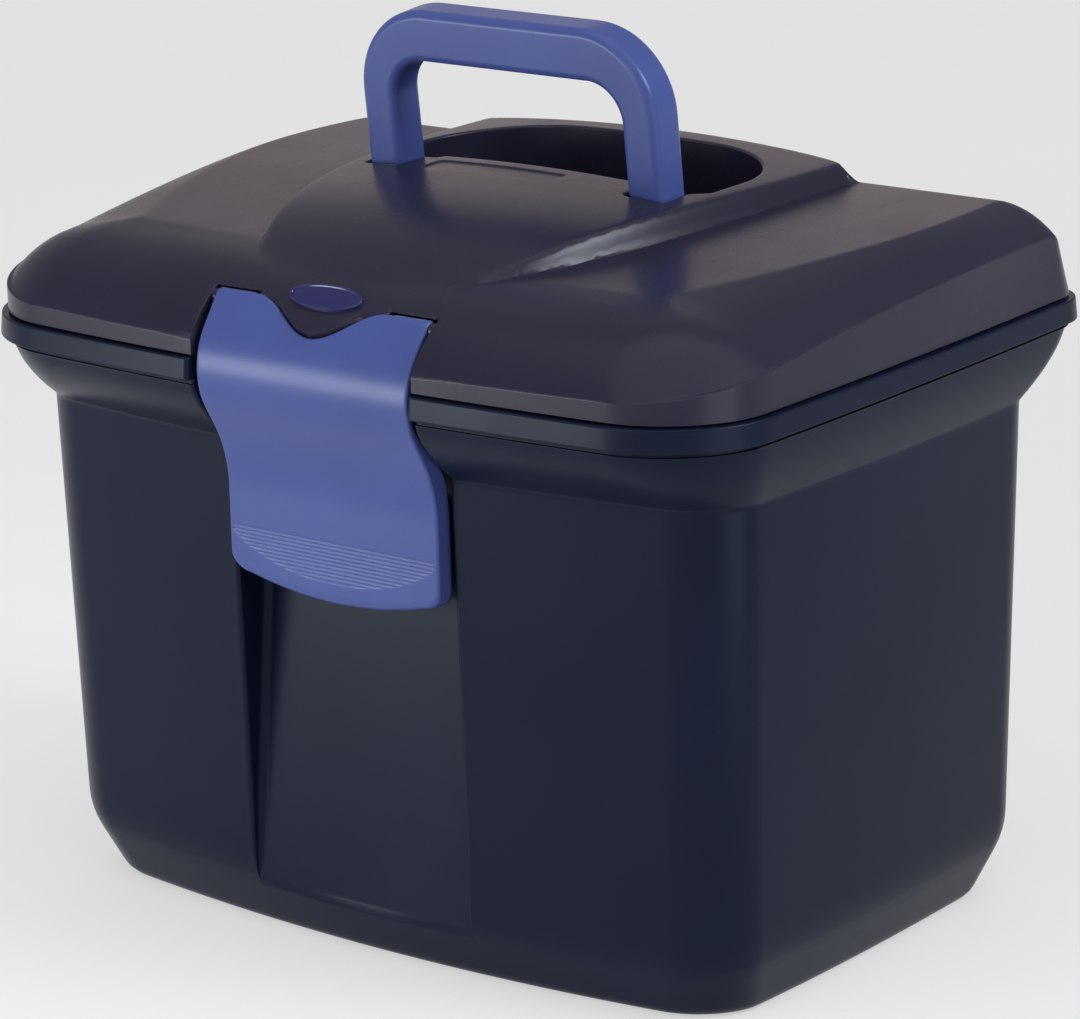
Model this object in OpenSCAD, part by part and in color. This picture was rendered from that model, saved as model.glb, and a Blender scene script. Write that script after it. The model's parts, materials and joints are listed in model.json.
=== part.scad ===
// Horse grooming box: a bowed tub with a rim band, a hinged domed lid with a
// raised crown, a carrying handle that folds back into a well in the crown,
// a front latch and a lift-out tray. Millimetres, +Z up, front towards -Y.
// The origin is on the floor under the middle of the rim.

/* [Overall] */
// Width over the rim band
box_w = 400; // [380:1:430]
// Distance from the middle to the front of the rim band
rim_front = 150; // [145:1:165]
// Distance from the middle to the rear of the rim band
rim_rear = 142; // [138:1:155]
// Height of the seam between the tub and the lid
seam_z = 260.5; // [255:0.5:285]
// Wall thickness of the tub and the lid
wall = 3; // [2.5:0.1:3.4]

/* [Tub] */
// Height of the chamfer round the foot
foot_h = 28; // [20:1:36]
// How far the foot is set in under the chamfer
foot_inset = 11; // [6:0.5:14]
// How far the wall leans out between the chamfer and the bulge
draft = 4; // [2:0.5:8]
// Height of the round bulge under the rim band
bulge_h = 29.5; // [26:0.5:34]
// Overhang of the bulge past the wall at the sides
bulge_side = 9.5; // [8:0.5:12]
// Overhang of the bulge past the wall at the front and the rear
bulge_front = 21.5; // [19:0.5:23]
// Height of the rim band
band_h = 12; // [9:0.5:15]
// How far the rim band stands proud of the bulge and the lid
band_proud = 3.5; // [2.5:0.1:5]
// Front corner radius of the wall, seen from above
tub_r = 27; // [22:1:34]
// Front corner radius of the rim band, seen from above
rim_r = 47; // [40:1:56]
// Rear corner radius of the wall and the rim band, seen from above
rear_r = 22; // [18:1:34]
// Bow of the front wall from its middle to its corners
tub_bow = 15; // [10:0.5:18]
// Bow of the front of the rim band
rim_bow = 10; // [6:0.5:14]
// Bow of each side
side_bow = 3; // [0:0.5:6]
// Height of the upstand inside the lid
lip_h = 5; // [3:0.5:8]
// Thickness of the upstand
lip_t = 2.4; // [1.8:0.1:3]

/* [Front recess] */
// Height where the recess starts
recess_z = 19; // [14:1:24]
// Depth of the recess at its deepest place
recess_deep = 26; // [20:1:28]
// Drop from the seam to its deepest place
recess_deep_drop = 55.5; // [48.5:1:70.5]
// Distance of the catch wall behind the front of the rim band
catch_set = 16; // [14:0.5:17]
// Drop from the seam to the foot of the catch wall
catch_drop = 24.5; // [22.5:0.5:28.5]
// Width of the keeper that the hook holds
keeper_w = 50; // [30:1:80]
// How far the keeper stands out of the catch wall
keeper_out = 5.5; // [4:0.25:6]
// Thickness of the keeper
keeper_t = 5; // [4:0.25:7]
// Drop from the seam to the keeper's underside
keeper_drop = 17.5; // [14.5:0.25:18]

/* [Lid] */
// Height of the upright lip of the lid above the seam, at the front
lid_lip = 5.5; // [3:0.5:9]
// Rise of the lid from the lip to the front crease
lid_rise = 30; // [26:0.5:34]
// Length of the front slope
lid_run = 55; // [45:1:60]
// Rise of the plateau from the front crease to the rear
lid_climb = 8; // [4:0.5:10]
// How much higher the lip is at the middle of the sides
side_arch = 20; // [14:0.5:22]
// Length of the slope at the middle of the sides
side_run = 17; // [14:0.5:24]
// Half width of the crown at its rear
crown_w = 97; // [94:1:108]
// Distance of the crown's rear edge behind the middle
crown_rear = 98; // [94:1:104]
// Height of the crown above the plateau
crown_h = 12.5; // [9:0.5:16]
// How far the crown is domed from side to side
crown_dome = 4; // [2:0.5:6]
// Width of the sloped cheek round the crown
cheek_w = 5; // [3:0.5:8]
// Height of the shadow groove over the rim band
groove_h = 1.4; // [1:0.1:2]
// Depth of the shadow groove
groove_d = 1.4; // [0.8:0.1:1.8]

/* [Handle] */
// Width over the handle
handle_w = 157; // [150:1:164]
// Height of the handle above its pivot
handle_h = 79; // [73:1:81]
// Width of the legs
grip_w = 18; // [15:0.5:18.5]
// Height of the bar
bar_h = 22.5; // [19:0.5:26]
// Depth of the legs and the bar
grip_d = 19; // [16:0.5:20]
// Rounding of the edges of the handle
grip_r = 5; // [3:0.5:7]
// Outer radius of the handle's corners
handle_r = 35; // [28:1:40]
// Distance of the pivot behind the middle
handle_y = 4.5; // [4:0.25:5]
// Depth of the pivot under the top of the crown
handle_sink = 12; // [11:0.5:14]
// Forward lean of the handle at rest, in degrees
handle_lean = 6; // [2:1:9]
// Diameter of the handle's pins
handle_pin_d = 6; // [5:0.5:7]

/* [Well] */
// Room between the folded handle and the well
well_room = 7; // [5:0.5:8]
// Radius of the well's rear corners
well_r = 50; // [44:1:54]
// Distance of the well's front edge behind the middle
well_front = 13; // [12.5:0.25:15]
// Depth of the well under the top of the crown
well_deep = 31; // [28:0.5:33]
// Room between the legs and their slots
slot_gap = 1.2; // [0.8:0.1:2]
// Thickness of the bosses that hold the pins
boss_t = 8; // [6:0.5:10]

/* [Latch] */
// Width of the latch
latch_w = 112; // [104:1:120]
// Thickness of the latch
latch_t = 3; // [2.4:0.1:3.6]
// Gap between the latch and its pocket, on each side
latch_gap = 2.5; // [1.5:0.1:3.5]
// Radius of the rolled top edge that turns on the pins
roll_r = 4; // [3.6:0.1:4.4]
// Distance of the latch's axis behind the front of the rim band
latch_set = 21.6; // [21:0.1:22.5]
// Height of the latch's axis above the seam
latch_up = 20; // [19.5:0.1:21]
// Slant of the latch at its top, in degrees
latch_tilt = 35; // [32:1:38]
// Turn of the round part over the rim, in degrees
belly_turn = 65; // [60:1:70]
// Length of the slanted part at the top
latch_top_l = 14.5; // [13:0.5:16]
// Radius of the round part over the rim
belly_r = 32.4; // [31:0.2:34]
// Length of the straight part under the belly
latch_mid_l = 10; // [8:0.5:12]
// Radius of the hollow above the grip
hollow_r = 55; // [48:1:62]
// Length of the upright grip at the bottom
grip_l = 43; // [34:1:48]
// How much lower the grip ends in its middle than at its sides
grip_sag = 6; // [3:0.5:9]
// Radius of the bottom corners
grip_corner_r = 9; // [6:0.5:14]
// Width of each wing beside the notch
wing_w = 21; // [17:0.5:24]
// Depth of the notch along the plate
notch_deep = 12.5; // [9:0.5:13.5]
// Diameter of the latch's pins
latch_pin_d = 4; // [3.4:0.1:4.4]
// Width of the hook
hook_w = 44; // [26:1:60]
// Thickness of the hook
hook_t = 4; // [3:0.25:5]
// How far the hook reaches in under the keeper
hook_grip = 3.5; // [2.5:0.25:4]
// Play between the hook and the keeper
hook_play = 1.2; // [1.1:0.1:2]

/* [Hinge] */
// Distance of each hinge from the middle
hinge_x = 105; // [80:1:120]
// Distance of the hinge axis behind the rim band
hinge_back = 8; // [7.5:0.25:10]
// Height of the hinge axis above the seam
hinge_up = 1.5; // [1:0.25:3]
// Radius of the knuckles
knuckle_r = 6; // [5:0.25:6.5]
// Width of each outer knuckle, on the tub
knuckle_w = 10; // [8:0.5:14]
// Width of the middle knuckle, on the lid
lid_knuckle_w = 18; // [14:0.5:24]
// Diameter of the hinge pins
hinge_pin_d = 5; // [4:0.25:5.5]

/* [Tray] */
// Room between the tray and the walls around it
tray_room = 7; // [6:0.5:12]
// Height of the tray
tray_h = 44; // [30:1:46]
// Wall thickness of the tray
tray_t = 2.2; // [1.8:0.1:3]
// Corner radius of the tray
tray_r = 16; // [10:1:22]
// Drop from the seam to the ledges that carry the tray
ledge_drop = 54.5; // [52.5:1:65.5]
// Length of the ledges
ledge_l = 120; // [80:1:150]
// How far the ledges reach under the tray
ledge_reach = 10; // [6:0.5:14]
// Thickness of the ledges
ledge_t = 5; // [3:0.5:8]

/* [Badge] */
// Width of the oval badge
badge_w = 38; // [30:1:42]
// Length of the badge up the slope
badge_l = 14; // [10:0.5:16]
// Thickness of the badge
badge_t = 1.6; // [1.2:0.1:2.4]
// Distance of the badge's middle behind the latch's axis
badge_set = 2; // [1:0.25:4]

/* [Hidden] */
$fn = 48;
quarter_turn = 90;

// Clearances
overrun = 1;
seat_gap = 0.3;
lip_gap = 0.6;
pin_gap = 0.08;
knuckle_gap = 0.4;
roll_gap = 0.8;
pin_end_gap = 0.3;
badge_gap = 0.15;

// Shares and powers that shape the curves
bulge_power = 1.65;
slope_power = 2.4;
crown_power = 2.2;
crown_fall_power = 5;
crown_fall_share = 45 / 238;
arch_middle_share = 0.17;
bulge_shares = [0, 0.2, 0.4, 0.6, 0.8, 1];
crown_shares = [0.03, 0.3, 0.55, 0.75, 0.88, 0.96, 1];
slope_shares = [0.12, 0.25, 0.4, 0.55, 0.68, 0.8, 0.9, 0.96, 1];

// Points on each stretch of an outline
front_steps = 16;
side_steps = 10;
corner_steps = 8;
notch_steps = 8;
snout_steps = 4;
snout_sides = 18;

// Derived sizes of the tub
wall_inset_side = band_proud + bulge_side;
wall_inset_front = band_proud + bulge_front;
bulge_z = seam_z - band_h - bulge_h;
band_z = seam_z - band_h;
lip_inset = band_proud + wall + lip_gap;
rim_inset = lip_inset + lip_t;
wall_front = rim_front - wall_inset_front;
foot_front = wall_front - draft - foot_inset;
pocket_w = latch_w + 2 * latch_gap;
notch_w = latch_w - 2 * wing_w;
catch_y = -(rim_front - catch_set);
catch_z = seam_z - catch_drop;
keeper_z = seam_z - keeper_drop;
recess_deep_z = seam_z - recess_deep_drop;
ledge_z = seam_z - ledge_drop;
far_front = rim_front + bulge_h;

// Derived sizes of the lid
lid_bottom = seam_z + seat_gap;
lip_z = seam_z + lid_lip;
crease_z = lip_z + lid_rise;
plateau_z = crease_z + lid_climb;
crown_z = plateau_z + crown_h;
lid_front = rim_front - band_proud;
lid_rear = rim_rear - band_proud;
lid_half_w = box_w / 2 - band_proud;
crease_y = -(lid_front - lid_run);
arch_y = arch_middle_share * lid_front;
arch_reach = lid_front;
crown_front = crown_rear + lid_front - cheek_w;
crown_back = cheek_w + wall;
crown_fall = crown_fall_share * crown_front;
well_z = crown_z - well_deep;

// Derived places of the axes
handle_z = crown_z - handle_sink;
// Set-back of the bar's underside from its faces
underside_set = 1.2;
handle_leg_x = handle_w / 2 - grip_w / 2;
latch_y = rim_front - latch_set;
latch_axis = [-latch_y, seam_z + latch_up];
hinge_axis = [rim_rear + hinge_back, seam_z + hinge_up];
well_rear = handle_y + handle_h + well_room;
well_half_w = handle_w / 2 + well_room;
slot_in = handle_leg_x - grip_w / 2 - slot_gap;
slot_out = handle_leg_x + grip_w / 2 + slot_gap;
slot_front = handle_y - grip_d / 2 - handle_lean_room();
hinge_l = lid_knuckle_w + 2 * knuckle_gap + 2 * knuckle_w;

// Derived sizes of the tray
tray_w = box_w - 2 * (wall_inset_side + wall + tray_room);
tray_front = wall_front - recess_deep - wall - tray_room;
tray_rear = rim_rear - wall_inset_front - wall - tray_room;

// Room that a leaning leg needs in front of its pivot
function handle_lean_room() = slot_gap + handle_sink * tan(handle_lean);

function mix(a, b, t) = a + (b - a) * t;
function clamp01(t) = min(1, max(0, t));

// Rounded rectangle from -front to rear, as a list of points seen from above
function rounded(hw, front, rear, r, rear_r) = concat(
    [for (i = [0:front_steps - 1]) [mix(r - hw, hw - r, i / front_steps), -front]],
    [for (i = [0:corner_steps - 1])
        corner_point(hw - r, r - front, r, quarter_turn * (i / corner_steps - 1))],
    [for (i = [0:side_steps - 1]) [hw, mix(r - front, rear - rear_r, i / side_steps)]],
    [for (i = [0:corner_steps - 1])
        corner_point(hw - rear_r, rear - rear_r, rear_r, quarter_turn * i / corner_steps)],
    [for (i = [0:front_steps - 1]) [mix(hw - rear_r, rear_r - hw, i / front_steps), rear]],
    [for (i = [0:corner_steps - 1])
        corner_point(rear_r - hw, rear - rear_r, rear_r, quarter_turn * (i / corner_steps + 1))],
    [for (i = [0:side_steps - 1]) [-hw, mix(rear - rear_r, r - front, i / side_steps)]],
    [for (i = [0:corner_steps - 1])
        corner_point(r - hw, r - front, r, quarter_turn * (i / corner_steps + 2))]
);
function corner_point(x, y, r, a) = [x + r * cos(a), y + r * sin(a)];

// Bows the front and the sides of an outline
function bowed(points, hw, front, rear, bow) = [
    for (p = points)
        let (middle = (rear - front) / 2, reach = (rear + front) / 2)
        [p[0] - side_bow * (p[0] / hw) * pow((p[1] - middle) / reach, 2),
         p[1] + bow * pow(p[0] / hw, 2) * max(0, -p[1] / front)]
];

// Outline that lies a given inset inside the rim band, with corners made smaller by a given step
function outline(side, front, r, bow, step) =
    let (hw = box_w / 2 - side, f = rim_front - front, b = rim_rear - front)
    bowed(rounded(hw, f, b, r - step, rear_r - step), hw, f, b, bow);
function at_height(points, z) = [for (p = points) [p[0], p[1], z]];

// Closed skin over a stack of rings, capped at both ends
module skin(rings) {
    n = len(rings[0]);
    last = len(rings) - 1;
    sides = [for (k = [0:last - 1]) for (i = [0:n - 1])
        let (j = (i + 1) % n, a = k * n, b = (k + 1) * n)
        each [[a + i, b + i, b + j], [a + i, b + j, a + j]]];
    bottom = [for (i = [0:n - 1]) i];
    top = [for (i = [n - 1:-1:0]) last * n + i];
    polyhedron(points = [for (ring = rings) each ring], faces = concat(sides, [bottom, top]));
}

// Prism with an outline in Y and Z, centred across X
module across(width) {
    rotate([quarter_turn, 0, quarter_turn]) linear_extrude(height = width, center = true) children();
}
module at_both_sides() {
    children();
    mirror([1, 0, 0]) children();
}

// Tub

// Rings of the tub, set in by a wall thickness for the inside
function tub_rings(t) = concat(
    [at_height(outline(wall_inset_side + draft + foot_inset + t, wall_inset_front + draft + foot_inset + t,
        tub_r, tub_bow, t), t)],
    [at_height(outline(wall_inset_side + draft + t, wall_inset_front + draft + t, tub_r, tub_bow, t), foot_h)],
    [for (s = bulge_shares)
        let (out = 1 - pow(1 - s, bulge_power),
            side = mix(wall_inset_side, band_proud, out) + t,
            front = mix(wall_inset_front, band_proud, out) + t)
        at_height(outline(side, front, mix(tub_r, rim_r, out), mix(tub_bow, rim_bow, out), t),
            bulge_z + bulge_h * s)]
);
function rim_outline(inset) = outline(inset, inset, rim_r, rim_bow, inset);
module tub_outside() {
    skin(concat(tub_rings(0), [
        at_height(rim_outline(0), band_z),
        at_height(rim_outline(0), seam_z),
        at_height(rim_outline(lip_inset), seam_z),
        at_height(rim_outline(lip_inset), seam_z + lip_h)
    ]));
}
module tub_inside() {
    rim = rim_outline(rim_inset);
    skin(concat(tub_rings(wall), [at_height(rim, seam_z), at_height(rim, seam_z + lip_h + overrun)]));
}

// Recess behind the latch, grown by a wall thickness for its inner skin
module recess(grow) {
    start = -(foot_front + foot_inset * recess_z / foot_h);
    lean = (wall_front - recess_deep + start) / (recess_deep_z - recess_z);
    across(pocket_w + 2 * grow) polygon([
        [-far_front, recess_z - grow],
        [start + grow, recess_z - grow],
        [start - lean * (recess_deep_z - recess_z) + grow, recess_deep_z + grow / 2],
        [catch_y + grow, catch_z + grow],
        [catch_y + grow, seam_z + lip_h + 2 * overrun],
        [-far_front, seam_z + lip_h + 2 * overrun]
    ]);
}
module keeper() {
    translate([-keeper_w / 2, catch_y - keeper_out, keeper_z])
        cube([keeper_w, keeper_out + wall / 2, keeper_t]);
}
module ledges() {
    intersection() {
        tub_outside();
        at_both_sides() translate([tray_w / 2 - ledge_reach, -ledge_l / 2, ledge_z - ledge_t])
            cube([box_w / 2, ledge_l, ledge_t]);
    }
}
// Gap in the upstand where the lid's pocket comes down
module upstand_gap() {
    half = pocket_w / 2 + wall + lip_gap;
    deep = far_front + catch_y + wall + overrun;
    translate([-half, -far_front, seam_z]) cube([2 * half, deep, lip_h + overrun]);
}
module tub_shell() {
    difference() {
        tub_outside();
        recess(0);
        upstand_gap();
        difference() {
            tub_inside();
            recess(wall);
        }
    }
    keeper();
    ledges();
}
module tub_knuckle() {
    across(knuckle_w) union() {
        translate(hinge_axis) circle(r = knuckle_r);
        translate([rim_rear, hinge_axis[1] - knuckle_r - hinge_up]) square([hinge_back, knuckle_r + hinge_up]);
    }
}
module hinge_bores() {
    at_both_sides() translate([hinge_x, 0, 0])
        across(hinge_l + 2 * overrun) translate(hinge_axis) circle(d = hinge_pin_d + 2 * pin_gap);
}
module tub() {
    color("#2b303f") difference() {
        union() {
            resize([0, 0, 0]) tub_shell();
            at_both_sides() for (side = [-1, 1])
                translate([hinge_x + side * (hinge_l - knuckle_w) / 2, 0, 0]) tub_knuckle();
        }
        hinge_bores();
    }
}
module hinge_pin(side) {
    color("silver") translate([side * hinge_x, 0, 0])
        across(hinge_l) translate(hinge_axis) circle(d = hinge_pin_d);
}

// Lid

// Height of the lid without its crown, at a point and its distance from the edge
function plateau_at(y) =
    crease_z + lid_climb * clamp01((y - crease_y) / (lid_front - arch_y));
function edge_at(y) = lip_z + side_arch * max(0, 1 - pow((y - arch_y) / arch_reach, 2));
function run_at(y) = min(lid_run, side_run + (lid_run - side_run) * pow((y - arch_y) / arch_reach, 2));
function slope_at(y, d) =
    edge_at(y) + (plateau_at(y) - edge_at(y)) * (1 - pow(1 - clamp01(d / run_at(y)), slope_power));

// Distance of a point inside the bowed edge of the lid
function edge_distance(x, y) =
    let (hw = lid_half_w - side_bow * pow(y / lid_front, 2),
        reach = y < 0 ? lid_front - rim_bow * pow(x / lid_half_w, 2) : lid_rear,
        r = y < 0 ? rim_r : rear_r,
        qx = abs(x) - (hw - r),
        qy = abs(y) - (reach - r),
        over = norm([max(qx, 0), max(qy, 0)]))
    r - over - min(max(qx, qy), 0);
function base_at(p) = slope_at(p[1], max(0, edge_distance(p[0], p[1])));

// Height of the crown, which falls to the front and is domed across
function crown_at(p) =
    let (s = clamp01((crown_rear - p[1]) / crown_front),
        hw = crown_w * pow(max(1 - pow(s, crown_power), pow(cheek_w / crown_w, crown_power)), 1 / crown_power))
    crown_z - crown_fall * pow(s, crown_fall_power) - crown_dome * pow(p[0] / hw, 2);

// Share of the way from the crown's middle to the lid's edge where the crown ends
function crown_edge(u, inset) =
    let (reach = (u[1] < 0 ? crown_front : crown_back) - inset)
    1 / pow(pow(abs(u[0]) / (crown_w - inset), crown_power) + pow(abs(u[1]) / reach, crown_power),
        1 / crown_power);

// Rings of the lid's top from its edge to the middle of the crown, at a depth under the surface
function lid_rings(edge, inset, drop) =
    let (middle = [0, crown_rear],
        spans = [for (p = edge) p - middle],
        ends = [for (u = spans) crown_edge(u, inset)],
        feet = [for (i = [0:len(edge) - 1]) min(1, ends[i] + cheek_w / norm(spans[i]))],
        top_z = crown_z - drop)
    concat(
        [for (k = [len(slope_shares) - 1:-1:0]) [for (i = [0:len(edge) - 1])
            let (p = middle + spans[i] * mix(feet[i], 1, slope_shares[k]))
            [p[0], p[1], base_at(p) - drop]]],
        [[for (i = [0:len(edge) - 1])
            let (p = middle + spans[i] * feet[i])
            [p[0], p[1], base_at(p) - drop]]],
        [for (k = [len(crown_shares) - 1:-1:1]) [for (i = [0:len(edge) - 1])
            let (p = middle + spans[i] * ends[i] * crown_shares[k])
            [p[0], p[1], max(crown_at(p), base_at(p)) - drop]]],
        [[for (i = [0:len(edge) - 1])
            let (p = middle + spans[i] * ends[i] * crown_shares[0])
            [p[0], p[1], top_z]]]
    );
function lid_edge(inset) = rim_outline(band_proud + inset);
module lid_outside() {
    skin(concat(
        [at_height(lid_edge(groove_d), lid_bottom)],
        [at_height(lid_edge(groove_d), lid_bottom + groove_h)],
        [at_height(lid_edge(0), lid_bottom + groove_h)],
        lid_rings(lid_edge(0), 0, 0)
    ));
}
module lid_inside() {
    skin(concat(
        [at_height(lid_edge(wall), lid_bottom - overrun)],
        lid_rings(lid_edge(wall), wall, wall)
    ));
}

// Well for the folded handle, with slots for its legs, grown by a wall thickness
module well_outline(grow) {
    r = well_r + grow;
    x = well_half_w - well_r;
    y = well_rear - well_r;
    polygon(concat(
        [[-well_half_w - grow, well_front - grow], [well_half_w + grow, well_front - grow]],
        [for (i = [0:corner_steps]) corner_point(x, y, r, quarter_turn * i / corner_steps)],
        [for (i = [0:corner_steps]) corner_point(-x, y, r, quarter_turn * (i / corner_steps + 1))]
    ));
    at_both_sides() translate([slot_in - grow, slot_front - grow])
        square([slot_out - slot_in + 2 * grow, well_front - slot_front + grow]);
}
module well(grow) {
    translate([0, 0, well_z - grow]) linear_extrude(height = well_deep + grow + overrun) well_outline(grow);
}

// Pocket for the latch in the front of the lid, with a snout left between its wings
module pocket(grow) {
    clear = roll_r + roll_gap + grow;
    out = [-cos(latch_tilt), sin(latch_tilt)];
    up = [sin(latch_tilt), cos(latch_tilt)];
    across(pocket_w + 2 * grow) polygon([
        [-far_front, lid_bottom - overrun],
        [catch_y - wall + grow, lid_bottom - overrun],
        [catch_y - wall + grow, lid_bottom + lid_lip],
        latch_axis + clear * [1, -1],
        latch_axis + clear * [1, tan(latch_tilt / 2)],
        latch_axis + clear * up,
        latch_axis + clear * up + far_front * out,
        [-2 * far_front, latch_axis[1]]
    ]);
}

// Round clearance about the latch's axis, between its wings, cut back by a gap for the snout
function notch_radius(share) =
    norm([roll_r + roll_gap / 2, notch_deep * (1 + cos(2 * quarter_turn * share)) / 2]);
module notch(gap, steps) {
    half = notch_w / 2 - gap;
    translate([0, latch_axis[0], latch_axis[1]]) rotate([0, quarter_turn, 0]) rotate_extrude() polygon(concat(
        [[0, -half]],
        [for (i = [-steps:steps]) [notch_radius(i / steps) - gap, half * i / steps]],
        [[0, half]]
    ));
}
module lid_shell() {
    difference() {
        lid_outside();
        well(0);
        difference() {
            pocket(0);
            notch(latch_gap / 2, snout_steps, $fn = snout_sides);
        }
        difference() {
            lid_inside();
            well(wall);
            pocket(wall);
        }
    }
}
module lid_knuckle() {
    across(lid_knuckle_w) union() {
        translate(hinge_axis) circle(r = knuckle_r);
        translate([lid_rear, hinge_axis[1]]) square([hinge_axis[0] - lid_rear, knuckle_r]);
    }
}
module handle_bosses() {
    for (x = [slot_in - wall - boss_t, slot_out + wall])
        translate([x, slot_front, handle_z - handle_pin_d])
            cube([boss_t, well_front - wall - slot_front - seat_gap, 2 * handle_pin_d - wall / 2]);
}
module latch_bosses() {
    translate([pocket_w / 2 + wall, latch_axis[0] - latch_pin_d, latch_axis[1] - latch_pin_d])
        cube([boss_t / 2, 2 * latch_pin_d, latch_pin_d + wall / 2]);
}
module handle_bore(gap) {
    translate([handle_leg_x, 0, 0]) across(handle_pin_l() + 2 * gap)
        translate([handle_y, handle_z]) circle(d = handle_pin_d + 2 * pin_gap);
}
function handle_pin_l() = slot_out - slot_in + 2 * wall + 2 * boss_t;
module lid() {
    color("#2f3443") difference() {
        union() {
            resize([0, 0, 0]) lid_shell();
            at_both_sides() translate([hinge_x, 0, 0]) lid_knuckle();
            at_both_sides() handle_bosses();
            at_both_sides() latch_bosses();
        }
        hinge_bores();
        at_both_sides() handle_bore(overrun);
        at_both_sides() latch_bore();
    }
}
module latch_bore() {
    translate([latch_pin_x(), 0, 0]) across(latch_pin_l())
        translate(latch_axis) circle(d = latch_pin_d + 2 * pin_gap);
}
function latch_pin_l() = wing_w + latch_gap + wall + boss_t / 2;
function latch_pin_x() = notch_w / 2 + latch_pin_l() / 2;
module badge() {
    y = badge_set - latch_y;
    rise = base_at([0, y + badge_l / 2]) - base_at([0, y - badge_l / 2]);
    color("#3d3f7a") translate([0, y, base_at([0, y]) + badge_gap]) rotate([atan(rise / badge_l), 0, 0])
        linear_extrude(height = badge_t) scale([badge_w / badge_l, 1]) circle(d = badge_l);
}

// Handle

module grip_section() {
    square([grip_w - 2 * grip_r, grip_d], center = true);
    square([grip_w, grip_d - 2 * grip_r], center = true);
    for (x = [-1, 1]) for (y = [-1, 1])
        translate([x * (grip_w / 2 - grip_r), y * (grip_d / 2 - grip_r)]) circle(r = grip_r);
}

// How far the underside of the bar runs on under the corners, to end inside them
function bar_more() = sqrt(pow(handle_r - grip_w + grip_r, 2) - pow(max(0, handle_r - bar_h), 2));
module bar() {
    translate([0, 0, handle_h - grip_w / 2]) rotate([0, quarter_turn, 0])
        linear_extrude(height = handle_w - 2 * handle_r, center = true) grip_section();
}
module bar_underside() {
    w = handle_w - 2 * handle_r + 2 * bar_more();
    d = grip_d - 2 * underside_set;
    translate([-w / 2, -d / 2, handle_h - bar_h]) cube([w, d, bar_h - grip_w / 2]);
}
module handle_half() {
    turn_r = handle_r - grip_w / 2;
    top = handle_h - handle_r;
    translate([handle_leg_x, 0, 0]) linear_extrude(height = top) grip_section();
    translate([handle_w / 2 - handle_r, 0, top]) rotate([quarter_turn, 0, 0])
        rotate_extrude(angle = quarter_turn) translate([turn_r, 0]) grip_section();
    translate([handle_leg_x, 0, 0]) across(grip_w) circle(d = grip_d);
}
module handle() {
    color("#5a64a5") translate([0, handle_y, handle_z]) rotate([handle_lean, 0, 0]) difference() {
        union() {
            at_both_sides() handle_half();
            bar();
            bar_underside();
        }
        at_both_sides() translate([handle_leg_x, 0, 0])
            across(grip_w + 2 * overrun) circle(d = handle_pin_d + 2 * pin_gap);
    }
}
module handle_pin(side) {
    color("silver") translate([side * handle_leg_x, 0, 0])
        across(handle_pin_l()) translate([handle_y, handle_z]) circle(d = handle_pin_d);
}

// Latch

// Points of a path that goes down from the roll, with an offset to its inner side
function heading(a) = [-sin(a), -cos(a)];
function inward(a) = [cos(a), -sin(a)];
function arc_points(center, r, from, to) =
    [for (i = [0:corner_steps]) center + r * inward(mix(from, to, i / corner_steps))];
function belly_center() =
    latch_axis + (belly_r - roll_r) * inward(latch_tilt) + latch_top_l * heading(latch_tilt);
function belly_end() = belly_center() - belly_r * inward(latch_tilt - belly_turn);
function latch_path(t) =
    let (a = latch_tilt, b = latch_tilt - belly_turn,
        p0 = latch_axis - roll_r * inward(a),
        c1 = belly_center(),
        p3 = belly_end() + latch_mid_l * heading(b),
        c2 = p3 - hollow_r * inward(b),
        p4 = c2 + hollow_r * inward(0),
        p5 = p4 + grip_l * heading(0))
    concat(
        [p0 + t * inward(a)],
        arc_points(c1, t - belly_r, a, b),
        arc_points(c2, hollow_r + t, b, 0),
        [p5 + t * inward(0)]
    );
function reversed(points) = [for (i = [len(points) - 1:-1:0]) points[i]];
module hook() {
    root = belly_end()[0] + latch_t / 4;
    tip = catch_y - keeper_out + hook_grip;
    top = keeper_z - hook_play;
    translate([-hook_w / 2, root, top - hook_t]) cube([hook_w, tip - root, hook_t]);
}

// Front view of the latch, with round bottom corners and a bowed bottom edge
module latch_face() {
    half = latch_w / 2;
    low = latch_path(0)[len(latch_path(0)) - 1][1];
    top = latch_axis[1] + roll_r + overrun;
    x = half - grip_corner_r;
    z = low + grip_sag + grip_corner_r;
    rotate([quarter_turn, 0, 0]) linear_extrude(height = far_front) polygon(concat(
        [[-half - overrun, top], [-half - overrun, z]],
        [for (i = [0:corner_steps]) corner_point(-x, z, grip_corner_r, quarter_turn * (i / corner_steps + 2))],
        [for (i = [1:front_steps - 1])
            let (share = 2 * i / front_steps - 1)
            [x * share, low + grip_sag * pow(share, 2)]],
        [for (i = [0:corner_steps]) corner_point(x, z, grip_corner_r, quarter_turn * (i / corner_steps - 1))],
        [[half + overrun, z], [half + overrun, top]]
    ));
}
module latch() {
    color("#5a64a5") difference() {
        union() {
            intersection() {
                across(latch_w) polygon(concat(latch_path(0), reversed(latch_path(latch_t))));
                latch_face();
            }
            across(latch_w) translate(latch_axis) circle(r = roll_r);
            hook();
        }
        notch(0, notch_steps);
        across(latch_w + 2 * overrun) translate(latch_axis) circle(d = latch_pin_d + 2 * pin_gap);
    }
}
module latch_pin(side) {
    color("silver") translate([side * latch_pin_x(), 0, 0])
        across(latch_pin_l() - 2 * pin_end_gap) translate(latch_axis) circle(d = latch_pin_d);
}

// Tray

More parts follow.
